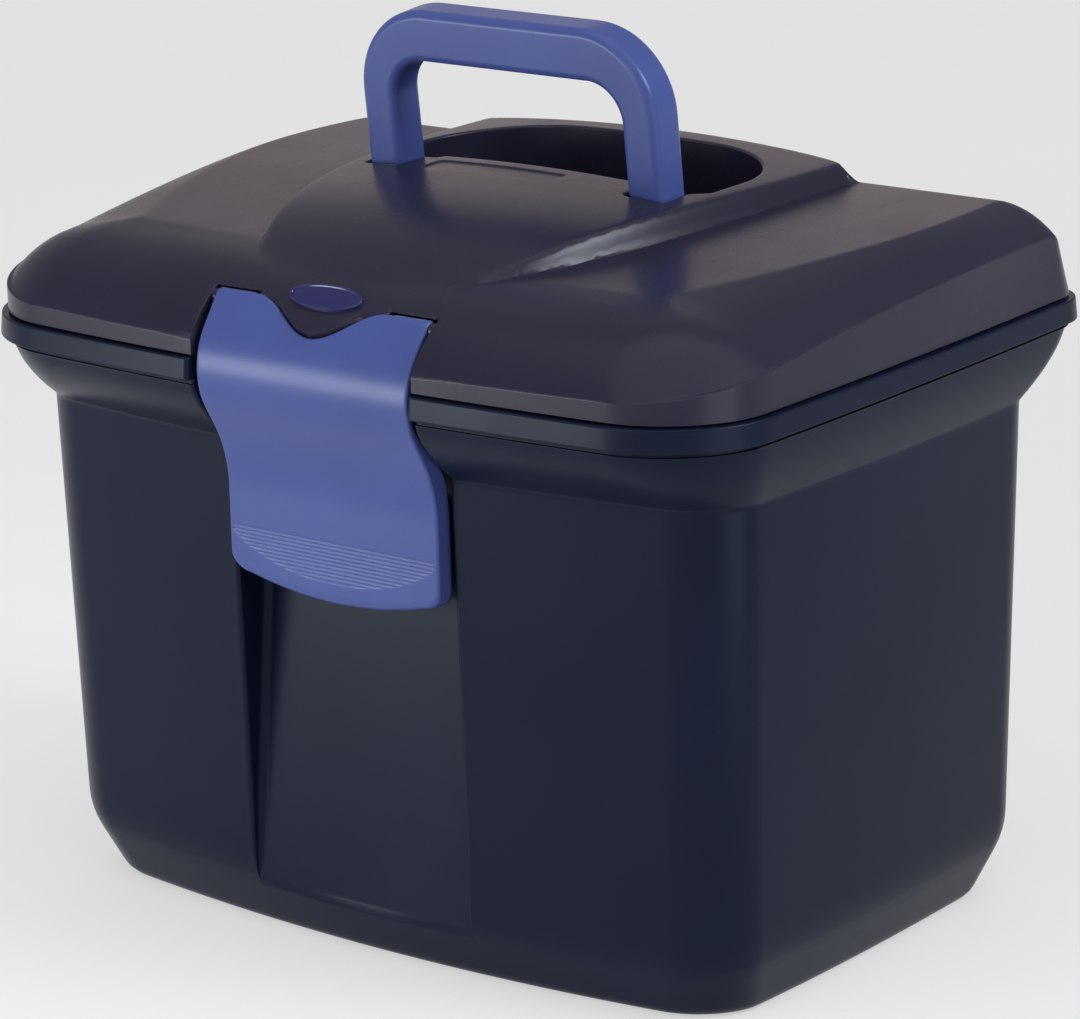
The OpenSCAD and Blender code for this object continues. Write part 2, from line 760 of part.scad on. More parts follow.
module round_plate(w, front, rear, r) {
    translate([r - w / 2, -front]) square([w - 2 * r, rear + front]);
    translate([-w / 2, r - front]) square([w, rear + front - 2 * r]);
    for (x = [r - w / 2, w / 2 - r]) for (y = [r - front, rear - r])
        translate([x, y]) circle(r = r);
}
module tray() {
    floor_z = ledge_z + seat_gap;
    color("#3a4152") translate([0, 0, floor_z]) {
        difference() {
            linear_extrude(height = tray_h) round_plate(tray_w, tray_front, tray_rear, tray_r);
            translate([0, 0, tray_t]) linear_extrude(height = tray_h)
                round_plate(tray_w - 2 * tray_t, tray_front - tray_t, tray_rear - tray_t, tray_r - tray_t);
        }
        for (x = [-tray_w / 6, tray_w / 6])
            translate([x - tray_t / 2, -tray_front + tray_t, tray_t])
                cube([tray_t, tray_front + tray_rear - 2 * tray_t, tray_h - tray_t]);
    }
}

tub();
hinge_pin(-1);  // hinge_pin_left
hinge_pin(1);  // hinge_pin_right
lid();
badge();
handle_pin(-1);  // handle_pin_left
handle_pin(1);  // handle_pin_right
latch_pin(-1);  // latch_pin_left
latch_pin(1);  // latch_pin_right
handle();
latch();
tray();
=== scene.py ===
"""Looks of the horse grooming box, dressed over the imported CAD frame.

Lengths are millimetres, seen from above with the front towards -Y, until a mesh is made in metres.
"""

import json
import math

import bmesh
import bpy
import numpy as np
from mathutils import Matrix, Vector, kdtree
from mathutils.geometry import delaunay_2d_cdt


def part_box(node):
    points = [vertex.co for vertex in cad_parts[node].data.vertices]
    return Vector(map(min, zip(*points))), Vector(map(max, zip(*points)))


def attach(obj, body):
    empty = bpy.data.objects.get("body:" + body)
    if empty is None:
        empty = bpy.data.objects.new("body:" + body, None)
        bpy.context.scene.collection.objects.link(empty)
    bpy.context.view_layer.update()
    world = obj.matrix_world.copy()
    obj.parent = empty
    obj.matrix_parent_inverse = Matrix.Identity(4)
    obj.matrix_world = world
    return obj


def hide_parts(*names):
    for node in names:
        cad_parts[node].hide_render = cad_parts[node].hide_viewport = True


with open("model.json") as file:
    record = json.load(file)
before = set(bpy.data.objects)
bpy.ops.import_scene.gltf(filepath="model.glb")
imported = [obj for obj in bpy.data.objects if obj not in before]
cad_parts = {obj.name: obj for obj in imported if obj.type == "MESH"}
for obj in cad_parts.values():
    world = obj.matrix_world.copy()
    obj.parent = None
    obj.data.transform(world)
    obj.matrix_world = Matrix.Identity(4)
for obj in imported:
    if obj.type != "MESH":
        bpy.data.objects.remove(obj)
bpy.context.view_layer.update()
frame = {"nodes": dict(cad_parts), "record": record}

# Units and mesh settings
MM = 0.001
MERGE = 0.00002
SHARP_ANGLE = math.radians(38)
EASE_STEPS = 4
EASE_LIMIT = 0.48
THIN_SHARE = 0.12
NEAR_STEP = 0.3
TINY = 1e-6
MESH_NEAR = 1e-5

# Rim, tub and recess
RIM_HALF = 200
RIM_FRONT = 150
RIM_REAR = 142
SEAM_Z = 258
SEAM_SWEEP = 2.5
SWEEP_FROM, SWEEP_TO = -110, 110
WALL = 3
FOOT_H = 28
FOOT_INSET = 11
DRAFT = 4
BULGE_H = 29.5
BULGE_SIDE = 9.5
BULGE_FRONT = 21.5
BULGE_POWER = 1.65
BULGE_STEPS = 20
BAND_H = 9.5
BAND_PROUD = 3.5
BAND_DRAFT = 0.8
STEP_H = 2.4
STEP_D = 1.2
TUB_R = 27
RIM_R = 47
REAR_R = 22
TUB_BOW = 15
RIM_BOW = 10
SIDE_BOW = 3
LIP_H = 7.5
LIP_T = 2.4
LIP_GAP = 0.6
RECESS_Z = 19
RECESS_DEEP = 26
RECESS_DEEP_Z = 205
CATCH_Y = 16 - RIM_FRONT
CATCH_Z = 236
WALL_SIDE = BAND_PROUD + BULGE_SIDE
WALL_FRONT = BAND_PROUD + BULGE_FRONT
BULGE_Z = SEAM_Z - BAND_H - BULGE_H
BAND_Z = SEAM_Z - BAND_H
FLOOR_FRONT = WALL_FRONT + DRAFT + FOOT_INSET - RIM_FRONT
RECESS_START = FLOOR_FRONT - FOOT_INSET * RECESS_Z / FOOT_H
LIP_INSET = BAND_PROUD + WALL + LIP_GAP
WALL_LEVELS = (8, 12, 16, 19, 21, 23, 25.5, 40, 60, 85, 110, 135, 160, 180,
               192, 198, 201, 203, 205, 207, 209, 212, 216)
PANEL_RISE = 1.5
PANEL_INSET = 13
PANEL_EDGE = 11
BLOCK_EASE = 0.8
LEDGE_EASE = 1

# Setbacks of the eased corners of the tub's section, up its outside and down its inside
FOOT_EASES = [0, 0.8, 5, 9, 2.5]
STEP_EASES = [0.6, 0.3, 0.3]
RIM_EASES = [0.8, 1.2, 0.5, 0.8, 0.8, 1]
FLOOR_EASES = [4, 6]

# Steps round an outline
MIDDLE_X = 76
WING_STEPS = 14
SIDE_STEPS = 44
REAR_STEPS = 56
CORNER_STEPS = 20
ROUND_STEPS = 6

# Lid, crown and well
LID_BOTTOM = SEAM_Z + 0.3
GROOVE_H = 0.5
GROOVE_D = 1.2
LIP_Z = SEAM_Z + 8
CREASE_Z = LIP_Z + 30
LID_RUN = 55
LID_CLIMB = 8
CLIMB_RUN = 121.6
CLIMB_SOFT = 0.5
SIDE_ARCH = 22
SIDE_RUN = 18
REAR_RUN = 34
REAR_LIP = 2
REAR_POWER = 2.2
REAR_ROUND = 4
SIDE_LEAN = 4.5
LEAN_FROM, LEAN_TO = 20, 130
FACET_ROWS = (0.04, 0.3, 0.65)
SLOPE_POWER = 3.2
FRONT_CREASE = 0.3
SIDE_CREASE = 0.5
CREASE_SOFT = 0.06
LIP_EASE = 0.4
LIP_EASE_RUN = 0.6
LIP_RINGS = (1.6, 0.9, 0.5, 0.25, 0)
LID_FOOT = ((0, 0.7), (0, 0.2), (0.3, 0))
LID_FRONT = RIM_FRONT - BAND_PROUD
LID_REAR = RIM_REAR - BAND_PROUD
LID_HALF = RIM_HALF - BAND_PROUD
CREASE_Y = LID_RUN - LID_FRONT
ARCH_Y = 70
ARCH_REACH = ARCH_Y + LID_FRONT
RUN_Y = 80
RUN_REACH = 1.1 * LID_FRONT
CROWN_W = 97
CROWN_REAR = 98
CROWN_H = 12.5
CROWN_Z = CREASE_Z + LID_CLIMB + CROWN_H
CROWN_DOME = 4
DOME_LIMIT = 2
CROWN_POWER = 2.2
CROWN_FALL_POWER = 5
CHEEK_W = 5
CHEEK_SLOPE = 2.4
CHEEK_SOFT = 1.0
CHEEK_FOOT = 1.2
CROWN_FRONT = CROWN_REAR + LID_FRONT - CHEEK_W
CROWN_BACK = CHEEK_W + WALL
CROWN_DROP, CROWN_RUN = 45, 238
CROWN_FALL = CROWN_FRONT * CROWN_DROP / CROWN_RUN
WELL_DEEP = 31
WELL_Z = CROWN_Z - WELL_DEEP
WELL_HALF = 85.5
WELL_FRONT = 13
WELL_REAR = 90.5
WELL_R = 50
WELL_EASE = 1.5
WELL_FILLET = 0.6
WELL_DRAFT = 0.4
WELL_SHARE = 0.28
WELL_MARGIN = 1
WELL_RIM = 11
WELL_WALL = ((0.1, CROWN_Z - 12), (WELL_DRAFT * 0.6, WELL_Z + 10), (WELL_DRAFT, WELL_Z + WELL_FILLET),
             (WELL_DRAFT + 0.3 * WELL_FILLET, WELL_Z + 0.3 * WELL_FILLET),
             (WELL_DRAFT + WELL_FILLET, WELL_Z))
SLOT_IN = 51.5
SLOT_STEP = 9
LEG_IN = 59.7
LEG_OUT = 79.4
LEG_FRONT = -7
SLOT_R = 1.7
PLATE_LOW, PLATE_HIGH = (-47, -10), (22, 5)
PLATE_DEEP = 0.7
PLATE_EASE = 0.7
PLATE_R = 3
PLATE_SPACING = 1.5

# Where the lid's top is searched for its edges, from the latch's axis
SLOT_SEARCH = (-12, 8, 200)
SNOUT_SEARCH = (-16, 2, 400)
SNOUT_REACH = 1
SLOT_END, SNOUT_END = -30, 290
SIDE_COUNT = 8
SLOT_COUNT = 12
SNOUT_COUNT = 49

# Seeds over the lid: distances of their rows, spacing along a row and room round each seed
SEED_CELL = 2.0
FINE_ROOM = 0.3
POCKET_ROWS = (0.35, 0.9, 1.7)
POCKET_SPACING = 1.4
WELL_ROWS = (0.4, 1.0, 1.7, 2.6, 4)
WELL_SPACING = 1.2
WELL_ROOM = 0.34
EDGE_ROWS = np.arange(2.8, 17.5, 2.4)
EDGE_SPACING = 3
EDGE_ROOM = 0.6
REAR_ROWS = np.arange(19.6, 33, 2.4)
REAR_X = np.arange(-150, 151, 3)
REAR_CLEAR = 9
PLATE_ROWS = (-PLATE_EASE / 2, 0, PLATE_EASE / 2, PLATE_EASE, 2 * PLATE_EASE)
CROWN_ROWS = (-7, -5, -3.4, -2.2, -1.2, -0.3, 0.6, 1.5, 2.5, 3.5, 4.6, 6, 8)
CROWN_TURN = 1.2
CROWN_SPACING = 3
CREASE_ROWS = (0.88, 0.94, 0.98, 1.02, 1.08)
CREASE_TURN = 0.6
CREASE_TRIES = 700
CREASE_SPACING = 2.2
RING_ROOM = 0.7
FIELD_STEP = 4.2
FIELD_ROW = 0.866
FIELD_ROOM = 2.4

# Joints
JOINTS = frame["record"]["behaviour"]["joints"]
AXES = {j["name"]: np.array(j.get("pos_m", (0, 0, 0))) / MM for j in JOINTS}
LATCH_AXIS = AXES["latch_pivot"][1:]
HANDLE_AXIS = AXES["handle_pivot"][1:]
HINGE_AXIS = AXES["lid_hinge"][1:]

# Latch, from its roll down to its grip, and its pocket
LATCH_HALF = 56
LATCH_T = 3
LATCH_EASE = 1.2
ROLL_R = 4
ROLL_CLEAR = 4.8
LATCH_TILT = math.radians(35)
BELLY_TURN = math.radians(65)
LATCH_TOP = 14.5
BELLY_R = 32.4
LATCH_MID = 10
HOLLOW_R = 55
GRIP_L = 43
GRIP_SAG = 6
GRIP_CORNER = 9
NOTCH_HALF = 35
NOTCH_DEEP = 12.5
WING_WRAP = 3
SNOUT_GAP = 0.9
POCKET_HALF = 58.5
POCKET_EASE = 0.8
POCKET_REACH = 11
POCKET_LOW = CATCH_Y - WALL
FLANGE_D = 8.5
FLANGE_T = 2.6
FLANGE_FROM, FLANGE_RUN = 42, 34
FLANGE_EASE = 0.5
BACK_EASE = 0.5
LENS_TOP = 184.5
LENS_LOW = 166.2
LENS_RISE = 15
LENS_HALF = 54
LENS_DEEP = 0.3
RIB_PITCH = 1.65
RIB_ROWS = 6
RIB_H = 0.26
GRIP_ROUND = 4
LENS_POWER = 2.3
LENS_EASE = 0.7
LENS_ABOVE, LENS_BELOW = 2, 1
BEND_OVER, BEND_LEAST = 0.8, 3
UPPER_L = NOTCH_DEEP + 12
FADE_FROM, FADE_RUN = 9, 8
SIDE_COLUMNS = [0, 0.1, 0.35, 0.75, 1.3, 2.0, 2.25, 2.55, 2.9, 3.6, 4.8, 6.4, 8.2]
MIDDLE_FROM, MIDDLE_COUNT = 10.5, 20
END_ROWS = [0, 0.1, 0.35, 0.75, 1.3, 2.2, 3.4]
BODY_FROM, BODY_COUNT, GRIP_COUNT = 5, 40, 6
ROLL_FROM, ROLL_TO = NOTCH_HALF + 1.5, LATCH_HALF - 0.2
ROLL_IN = 0.1
ROLL_EASE = 0.7
COLLAR_FROM, COLLAR_TO = LATCH_HALF + 0.3, POCKET_HALF + 0.6
COLLAR_IN = 0.8
COLLAR_EASE = 0.3
HOOK_HALF = 22
HOOK_H = 4
HOOK_REACH = 3.5
HOOK_GAP = 1.2

# Handle
HANDLE_HALF = 78.5
HANDLE_H = 79
GRIP_W = 18
BAR_H = 22.5
GRIP_D = 19
GRIP_EASE = 3.8
OUTER_R = 37
INNER_R = 17
BOSS_T = 2.2
BOSS_GAP = 0.4
BOSS_OVER = 1
BOSS_EASE = 0.4
HANDLE_LEAN = math.radians(6)
END_TURN, END_STEPS = -84, 8
LEG_MARKS = (0.25, 0.5, 0.75)
BAR_MARKS = (0.3, 0.6)
BEND_STEPS = 18
ROUND_LIMIT = 0.95

# Hinges, tray, keeper and badge
HINGE_X = 105
KNUCKLE_R = 6
KNUCKLE_W = 10
LID_KNUCKLE_W = 18
KNUCKLE_GAP = 0.4
KNUCKLE_FOOT = 1.5
KNUCKLE_EASE = 0.6
KNUCKLE_STEPS = 14
TRAY_LOW, TRAY_HIGH = (np.array(corner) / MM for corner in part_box("tray"))
TRAY_T = 2.2
TRAY_R = 16
TRAY_FLAT, TRAY_BED = 9, 11
TRAY_DRAFT = 1.2
BEAD_OUT = 1.6
BEAD_H = 4.4
BEAD_FOOT = 6
BEAD_IN, BED_IN = TRAY_T - 0.4, TRAY_T + 1
TRAY_EASES = (0, 4, 0.8, 0.8, 1.2, 0.9, 5, 0)
DIVIDER_DROP = 5
DIVIDER_EASE = 0.5
DIP_DEEP = 16
DIP_TOP, DIP_FLOOR = 34, 26
DIP_EASES = (0, 0, 0, 6, 6, 6, 6, 0)
KEEPER_LOW, KEEPER_HIGH = (-25, CATCH_Y - 5.5, 243), (25, CATCH_Y + 1.5, 248)
LEDGE_LOW, LEDGE_HIGH = (167, -60, 201), (185.5, 60, 206)
BADGE_LOW, BADGE_HIGH = (np.array(corner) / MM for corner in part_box("badge"))
BADGE_HALF = 7
BADGE_ROWS = ((0.2, -0.8), (0, 1.0), (0.25, 1.45), (0.7, 1.6), (1.2, 1.5), (1.5, 1.1),
              (2, 1.05), (4.5, 1.2), (6.9, 1.25))
BADGE_TURN = 5

# Stage
FLOOR_HALF = 14
FLOOR_DROP = 0.0004
FLOOR_WHITE = 0.5
WORLD_GREY = (0.31, 0.305, 0.31, 1)

# Camera fitted to the photograph
CAMERA_TARGET = Vector((0, 5, 130)) * MM
CAMERA_AZIMUTH = math.radians(38.44)
CAMERA_ELEVATION = math.radians(15.79)
CAMERA_ROLL = math.radians(1.44)
CAMERA_DISTANCE = 2074.44 * MM
CAMERA_ASIDE = 1.96 * MM
CAMERA_ABOVE = 34.98 * MM
CAMERA_LENS = 159.6
CAMERA_SENSOR = 36


# Curves

def mix(a, b, t):
    return a + (b - a) * t


def smooth_step(t):
    t = np.clip(t, 0, 1)
    return t * t * (3 - 2 * t)


def smooth_max(a, b, reach):
    near = np.maximum(reach - np.abs(a - b), 0) / reach
    return np.maximum(a, b) + near * near * reach / 4


def smooth_min(a, b, reach):
    return -smooth_max(-a, -b, reach)


def round_edge(distance, radius):
    """How far a surface has dropped at a distance from a rounded edge."""
    left = np.clip(radius - distance, 0, radius)
    return radius - np.sqrt(radius * radius - left * left)


def arc(x, y, r, start, end, steps):
    """Points on an arc, both ends included, with angles in degrees."""
    angles = np.radians(np.linspace(start, end, steps + 1))
    return [(x + r * math.cos(a), y + r * math.sin(a)) for a in angles]


def eased(points, setbacks, closed=False, steps=EASE_STEPS):
    """A path whose corners are eased by curves that start a setback before them."""
    points = [np.array(p, float) for p in points]
    last = len(points) - 1
    path = []
    for i, (corner, setback) in enumerate(zip(points, setbacks)):
        if setback == 0 or (not closed and i in (0, last)):
            path.append(corner)
            continue
        arms = [points[i - 1] - corner, points[(i + 1) % len(points)] - corner]
        start, end = (corner + a * min(setback / np.linalg.norm(a), EASE_LIMIT) for a in arms)
        for t in np.linspace(0, 1, steps + 1):
            path.append((1 - t) ** 2 * start + 2 * t * (1 - t) * corner + t * t * end)
    return path


def resample(points, spacing, closed=True):
    """Points at an even spacing along a path."""
    path = np.array(list(points) + list(points[:1] if closed else []), float)
    along = np.concatenate([[0], np.cumsum(np.linalg.norm(np.diff(path, axis=0), axis=1))])
    count = max(2, round(along[-1] / spacing))
    marks = np.linspace(0, along[-1], count + 1)
    even = np.stack([np.interp(marks, along, path[:, k]) for k in range(path.shape[1])], axis=1)
    return even[:-1] if closed else even


def disc(centre, r):
    """A round outline."""
    return arc(*centre, r, 0, 345, 23)


def span(sign, a, b):
    """Two places on one side of the middle, from left to right."""
    return sorted((sign * a, sign * b))


def move_left(path, ahead, distance):
    """A path moved to the left of its headings."""
    normal = np.stack([-ahead[:, 1], ahead[:, 0]], axis=1)
    return path + normal / np.linalg.norm(normal, axis=1)[:, None] * distance


def inset_loop(loop, distance):
    """An anticlockwise loop moved inwards."""
    return move_left(loop, np.roll(loop, -1, axis=0) - np.roll(loop, 1, axis=0), distance)


def plan_tree(points):
    """A search tree of points seen from above."""
    tree = kdtree.KDTree(len(points))
    for i, p in enumerate(points):
        tree.insert((p[0], p[1], 0), i)
    tree.balance()
    return tree


def nearness(path, closed=True):
    """A function that gives distances from a path seen from above."""
    tree = plan_tree(resample(path, NEAR_STEP, closed))
    return lambda x, y: np.array([tree.find((a, b, 0))[2] for a, b in zip(x, y)])


def inside(loop, x, y):
    """Which points lie inside a loop."""
    hits = np.zeros(len(x), bool)
    for (ax, ay), (bx, by) in zip(loop, np.roll(loop, -1, axis=0)):
        crosses = (ay > y) != (by > y)
        run = (bx - ax) * (y - ay) / (by - ay if by != ay else 1) + ax
        hits ^= crosses & (x < run)
    return hits


# Meshes

class Skin:
    """Points and faces of one mesh."""

    def __init__(self):
        self.points = []
        self.faces = []

    def add(self, points):
        start = len(self.points)
        self.points += [tuple(map(float, p)) for p in points]
        return list(range(start, len(self.points)))

    def strip(self, low, high, closed):
        count = len(low)
        for i in range(count if closed else count - 1):
            j = (i + 1) % count
            self.faces.append((low[i], low[j], high[j], high[i]))

    def grid(self, rows, closed=False, caps=False):
        marks = [self.add(row) for row in rows]
        for low, high in zip(marks, marks[1:]):
            self.strip(low, high, closed)
        if caps:
            self.faces.append(marks[0])
            self.faces.append(marks[-1][::-1])
        return marks

    def polygon(self, points):
        self.faces.append(self.add(points))

    def block(self, low, high, ease):
        """A box with rounded edges."""
        bm = bmesh.new()
        bmesh.ops.create_cube(bm, size=1)
        middle, size = (np.add(low, high) / 2), np.subtract(high, low)
        for v in bm.verts:
            v.co = Vector(middle + np.array(v.co) * size)
        bmesh.ops.bevel(bm, geom=bm.edges[:], offset=ease, segments=3, profile=0.5, affect="EDGES")
        marks = self.add(v.co for v in bm.verts)
        bm.verts.index_update()
        self.faces += [[marks[v.index] for v in f.verts] for f in bm.faces]
        bm.free()

    def prism(self, outline, left, right, ease):
        """An outline in Y and Z, drawn out along X with eased ends."""
        full = np.array(outline, float)
        middle = full.mean(axis=0)
        reach = np.linalg.norm(full - middle, axis=1)[:, None]
        small = full + (middle - full) / reach * ease
        rows = ((left, small), (left + ease, full), (right - ease, full), (right, small))
        self.grid([[(x, *p) for p in loop] for x, loop in rows], closed=True, caps=True)


def add_object(name, data):
    obj = bpy.data.objects.new(name, data)
    bpy.context.scene.collection.objects.link(obj)
    return obj


def piece(name, build, body, material, replaced=(), shell=0, share=None):
    """Makes an object of the skin that a function builds, with a shell thickness where it is an outside only.

    A function of a point's place gives the share of the shell's thickness there.
    """
    skin = Skin()
    build(skin)
    mesh = bpy.data.meshes.new(name)
    mesh.from_pydata([Vector(p) * MM for p in skin.points], [], skin.faces)
    bm = bmesh.new()
    bm.from_mesh(mesh)
    bmesh.ops.remove_doubles(bm, verts=bm.verts, dist=MERGE)
    bmesh.ops.dissolve_degenerate(bm, edges=bm.edges, dist=MERGE)
    bmesh.ops.recalc_face_normals(bm, faces=bm.faces)
    if shell:
        top = max(bm.faces, key=lambda f: f.calc_center_median().z)
        if top.normal.z < 0:
            bmesh.ops.reverse_faces(bm, faces=bm.faces)
    for face in bm.faces:
        face.smooth = True
    for edge in bm.edges:
        edge.smooth = edge.calc_face_angle(0) < SHARP_ANGLE
    bm.to_mesh(mesh)
    bm.free()
    obj = add_object(name, mesh)
    mesh.materials.append(material)
    if shell:
        solid = obj.modifiers.new("shell", "SOLIDIFY")
        solid.thickness = shell * MM
        solid.offset = -1
        full = obj.vertex_groups.new(name="full")
        for v in mesh.vertices:
            full.add([v.index], share(*(v.co / MM)), "REPLACE")
        solid.vertex_group = full.name
        solid.thickness_vertex_group = THIN_SHARE
    normals = obj.modifiers.new("normals", "WEIGHTED_NORMAL")
    normals.keep_sharp = True
    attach(obj, body)
    if replaced:
        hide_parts(*replaced)
    return obj


# Outlines of the box

def bow_out(x, y, hw, front, rear, bow):
    middle, reach = (rear - front) / 2, (rear + front) / 2
    return (x - SIDE_BOW * (x / hw) * ((y - middle) / reach) ** 2,
            y + bow * (x / hw) ** 2 * max(0, -y / front))


def outline(side, front, r, rear_r, bow, middle):
    """Bowed round rectangle inside the rim band, anticlockwise, with a given middle of its front."""
    hw, f, b = RIM_HALF - side, RIM_FRONT - front, RIM_REAR - front
    wing = np.linspace(hw - r, MIDDLE_X, WING_STEPS, endpoint=False)
    side_y = np.linspace(r - f, b - rear_r, SIDE_STEPS + 1)[1:-1]
    rear_x = np.linspace(hw - rear_r, rear_r - hw, REAR_STEPS + 1)[1:-1]
    left = [(-x, -f) for x in wing]
    right = [(x, -f) for x in wing[::-1]]
    right += arc(hw - r, r - f, r, -90, 0, CORNER_STEPS)[1:]
    right += [(hw, y) for y in side_y]
    right += arc(hw - rear_r, b - rear_r, rear_r, 0, 90, CORNER_STEPS)
    right += [(x, b) for x in rear_x]
    right += arc(rear_r - hw, b - rear_r, rear_r, 90, 180, CORNER_STEPS)
    right += [(-hw, y) for y in side_y[::-1]]
    right += arc(r - hw, r - f, r, 180, 270, CORNER_STEPS)[:-1]
    bowed = [[bow_out(x, y, hw, f, b, bow) for x, y in points] for points in (left, right)]
    return bowed[0] + list(middle) + bowed[1]


def front_at(x, side, front, bow):
    """Where the front of an outline lies."""
    return front - RIM_FRONT + bow * (x / (RIM_HALF - side - SIDE_BOW)) ** 2


def sweep(y):
    """Rise of the seam towards the rear."""
    return SEAM_SWEEP * np.clip((np.asarray(y, float) - SWEEP_FROM) / (SWEEP_TO - SWEEP_FROM), 0, 1)


# Tub

RECESS_CORNERS = [(RECESS_Z, RECESS_START), (RECESS_DEEP_Z, WALL_FRONT + RECESS_DEEP - RIM_FRONT),
                  (CATCH_Z, CATCH_Y), (SEAM_Z + LIP_H, CATCH_Y)]
RECESS_EASES = (0, 9, 4, 0)
RECESS_PATH = np.array(eased(RECESS_CORNERS, RECESS_EASES, steps=2 * EASE_STEPS))
RECESS_LEAST = 0.02
RECESS_WALL = (0.33, 0.67)
RECESS_EDGE = 2
RECESS_FILLET = 4
RECESS_OUT = (MIDDLE_X, 71, 67)
RECESS_FLOOR = (50, 44, 36, 27, 18, 9, 0)
UPSTAND_STEP = (2.6, 1.4)


def recess_row(z, side, front, bow, grow):
    """The middle of the tub's front at a height, from left to right, with the recess where it cuts in."""
    def on_front(x):
        return (x, front_at(x, side, front, bow))

    half = POCKET_HALF + grow
    lip = front_at(half, side, front, bow)
    floor = np.interp(z, *RECESS_PATH.T) + grow if z > RECESS_Z else lip
    deep = max(0, floor - lip)
    small = max(min(1, deep / (RECESS_EDGE + RECESS_FILLET)), RECESS_LEAST)
    edge, fillet = small * RECESS_EDGE, small * RECESS_FILLET
    start, end = lip + min(edge, deep), floor - min(fillet, deep)
    flat = [on_front(x) for x in RECESS_OUT] + [on_front(half + edge + more) for more in UPSTAND_STEP]
    cut = arc(half + edge, start, edge, 270, 180, 4)
    cut += [(half, mix(start, end, t)) for t in RECESS_WALL]
    cut += arc(half - fillet, end, fillet, 0, 90, 6)
    cut += [(x, floor) for x in RECESS_FLOOR]
    if deep == 0:
        cut = [on_front(x) for x, _ in cut]
    right = flat + cut
    return [(-x, y) for x, y in right] + right[-2::-1]


def shell_levels(t):
    """Corners of the tub's section from its floor to the bulge's top, a thickness inside the outside."""
    side, front = WALL_SIDE + DRAFT + t, WALL_FRONT + DRAFT + t
    plain = (TUB_R - t, REAR_R - t, TUB_BOW, t)
    levels = [(t, side + FOOT_INSET, front + FOOT_INSET, *plain), (FOOT_H, side, front, *plain)]
    for s in np.linspace(0, 1, BULGE_STEPS + 1):
        out = 1 - (1 - s) ** BULGE_POWER
        levels.append((BULGE_Z + BULGE_H * s, mix(WALL_SIDE, BAND_PROUD, out) + t,
                       mix(WALL_FRONT, BAND_PROUD, out) + t, mix(TUB_R, RIM_R, out) - t, REAR_R - t,
                       mix(TUB_BOW, RIM_BOW, out), t))
    return levels


def rim_level(z, inset, grow):
    return (z, inset, inset, RIM_R - inset, REAR_R - inset, RIM_BOW, grow)


def with_levels(path):
    """Adds the wall's levels to the long straight stretches of a section."""
    full = [path[0]]
    for a, b in zip(path, path[1:]):
        low, high = sorted((a[0], b[0]))
        between = [z for z in WALL_LEVELS if low + 1 < z < high - 1]
        for z in between if a[0] < b[0] else between[::-1]:
            full.append(mix(a, b, (z - a[0]) / (b[0] - a[0])))
        full.append(b)
    return full


def tub_body(skin):
    """The tub's walls, floor and rim, with its keeper and ledges."""
    base = shell_levels(0)[0]
    panel = [(PANEL_RISE, base[1] + PANEL_INSET, base[2] + PANEL_INSET, *base[3:]),
             (0, base[1] + PANEL_EDGE, base[2] + PANEL_EDGE, *base[3:])]
    outer = shell_levels(0)[:-2]
    outer += [rim_level(BAND_Z - STEP_H, BAND_PROUD, 0), rim_level(BAND_Z - STEP_H, BAND_PROUD + STEP_D, 0),
              rim_level(BAND_Z, BAND_PROUD + STEP_D, 0)]
    rim = [rim_level(BAND_Z, 0, 0), rim_level(SEAM_Z, BAND_DRAFT, 0), rim_level(SEAM_Z, LIP_INSET, 1),
           rim_level(SEAM_Z + LIP_H, LIP_INSET, 1), rim_level(SEAM_Z + LIP_H, LIP_INSET + LIP_T, WALL)]
    inner = shell_levels(WALL)[::-1]
    corners = panel + outer + rim + inner
    setbacks = FOOT_EASES + [0] * (BULGE_STEPS - 2) + STEP_EASES + RIM_EASES
    setbacks += [0] * BULGE_STEPS + FLOOR_EASES
    rows = []
    for z, side, front, r, rear_r, bow, grow in with_levels(eased(corners, setbacks)):
        middle = recess_row(z, side, front, bow, grow)
        ring = outline(side, front, r, rear_r, bow, middle)
        cut = WING_STEPS + len(RECESS_OUT) + 1
        stop = WING_STEPS + len(middle) - len(RECESS_OUT) - 1
        share = min(max((z - BULGE_Z) / BULGE_H, 0), 1)
        rows.append([(x, y, (min(z, SEAM_Z) if cut <= i < stop else z) + share * sweep(y))
                     for i, (x, y) in enumerate(ring)])
    skin.grid(rows, closed=True, caps=True)
    skin.block(KEEPER_LOW, KEEPER_HIGH, BLOCK_EASE)
    for sign in (-1, 1):
        x = span(sign, LEDGE_LOW[0], LEDGE_HIGH[0])
        skin.block((x[0], *LEDGE_LOW[1:]), (x[1], *LEDGE_HIGH[1:]), LEDGE_EASE)


def tub_knuckles(skin):
    """Two outer knuckles of each hinge, on the tub's rim band."""
    y, z = HINGE_AXIS
    foot = RIM_REAR - WALL / 2
    shape = [(foot, z), (foot, z - KNUCKLE_R - KNUCKLE_FOOT)]
    shape += arc(y, z, KNUCKLE_R, -80, 150, KNUCKLE_STEPS)
    apart = LID_KNUCKLE_W / 2 + KNUCKLE_GAP
    for hinge in (-HINGE_X, HINGE_X):
        skin.prism(shape, hinge - apart - KNUCKLE_W, hinge - apart, KNUCKLE_EASE)
        skin.prism(shape, hinge + apart, hinge + apart + KNUCKLE_W, KNUCKLE_EASE)


# Lid

def lean(y):
    """How far the side of the lid leans in at its top, towards the rear."""
    return SIDE_LEAN * smooth_step((np.asarray(y, float) - LEAN_FROM) / (LEAN_TO - LEAN_FROM))


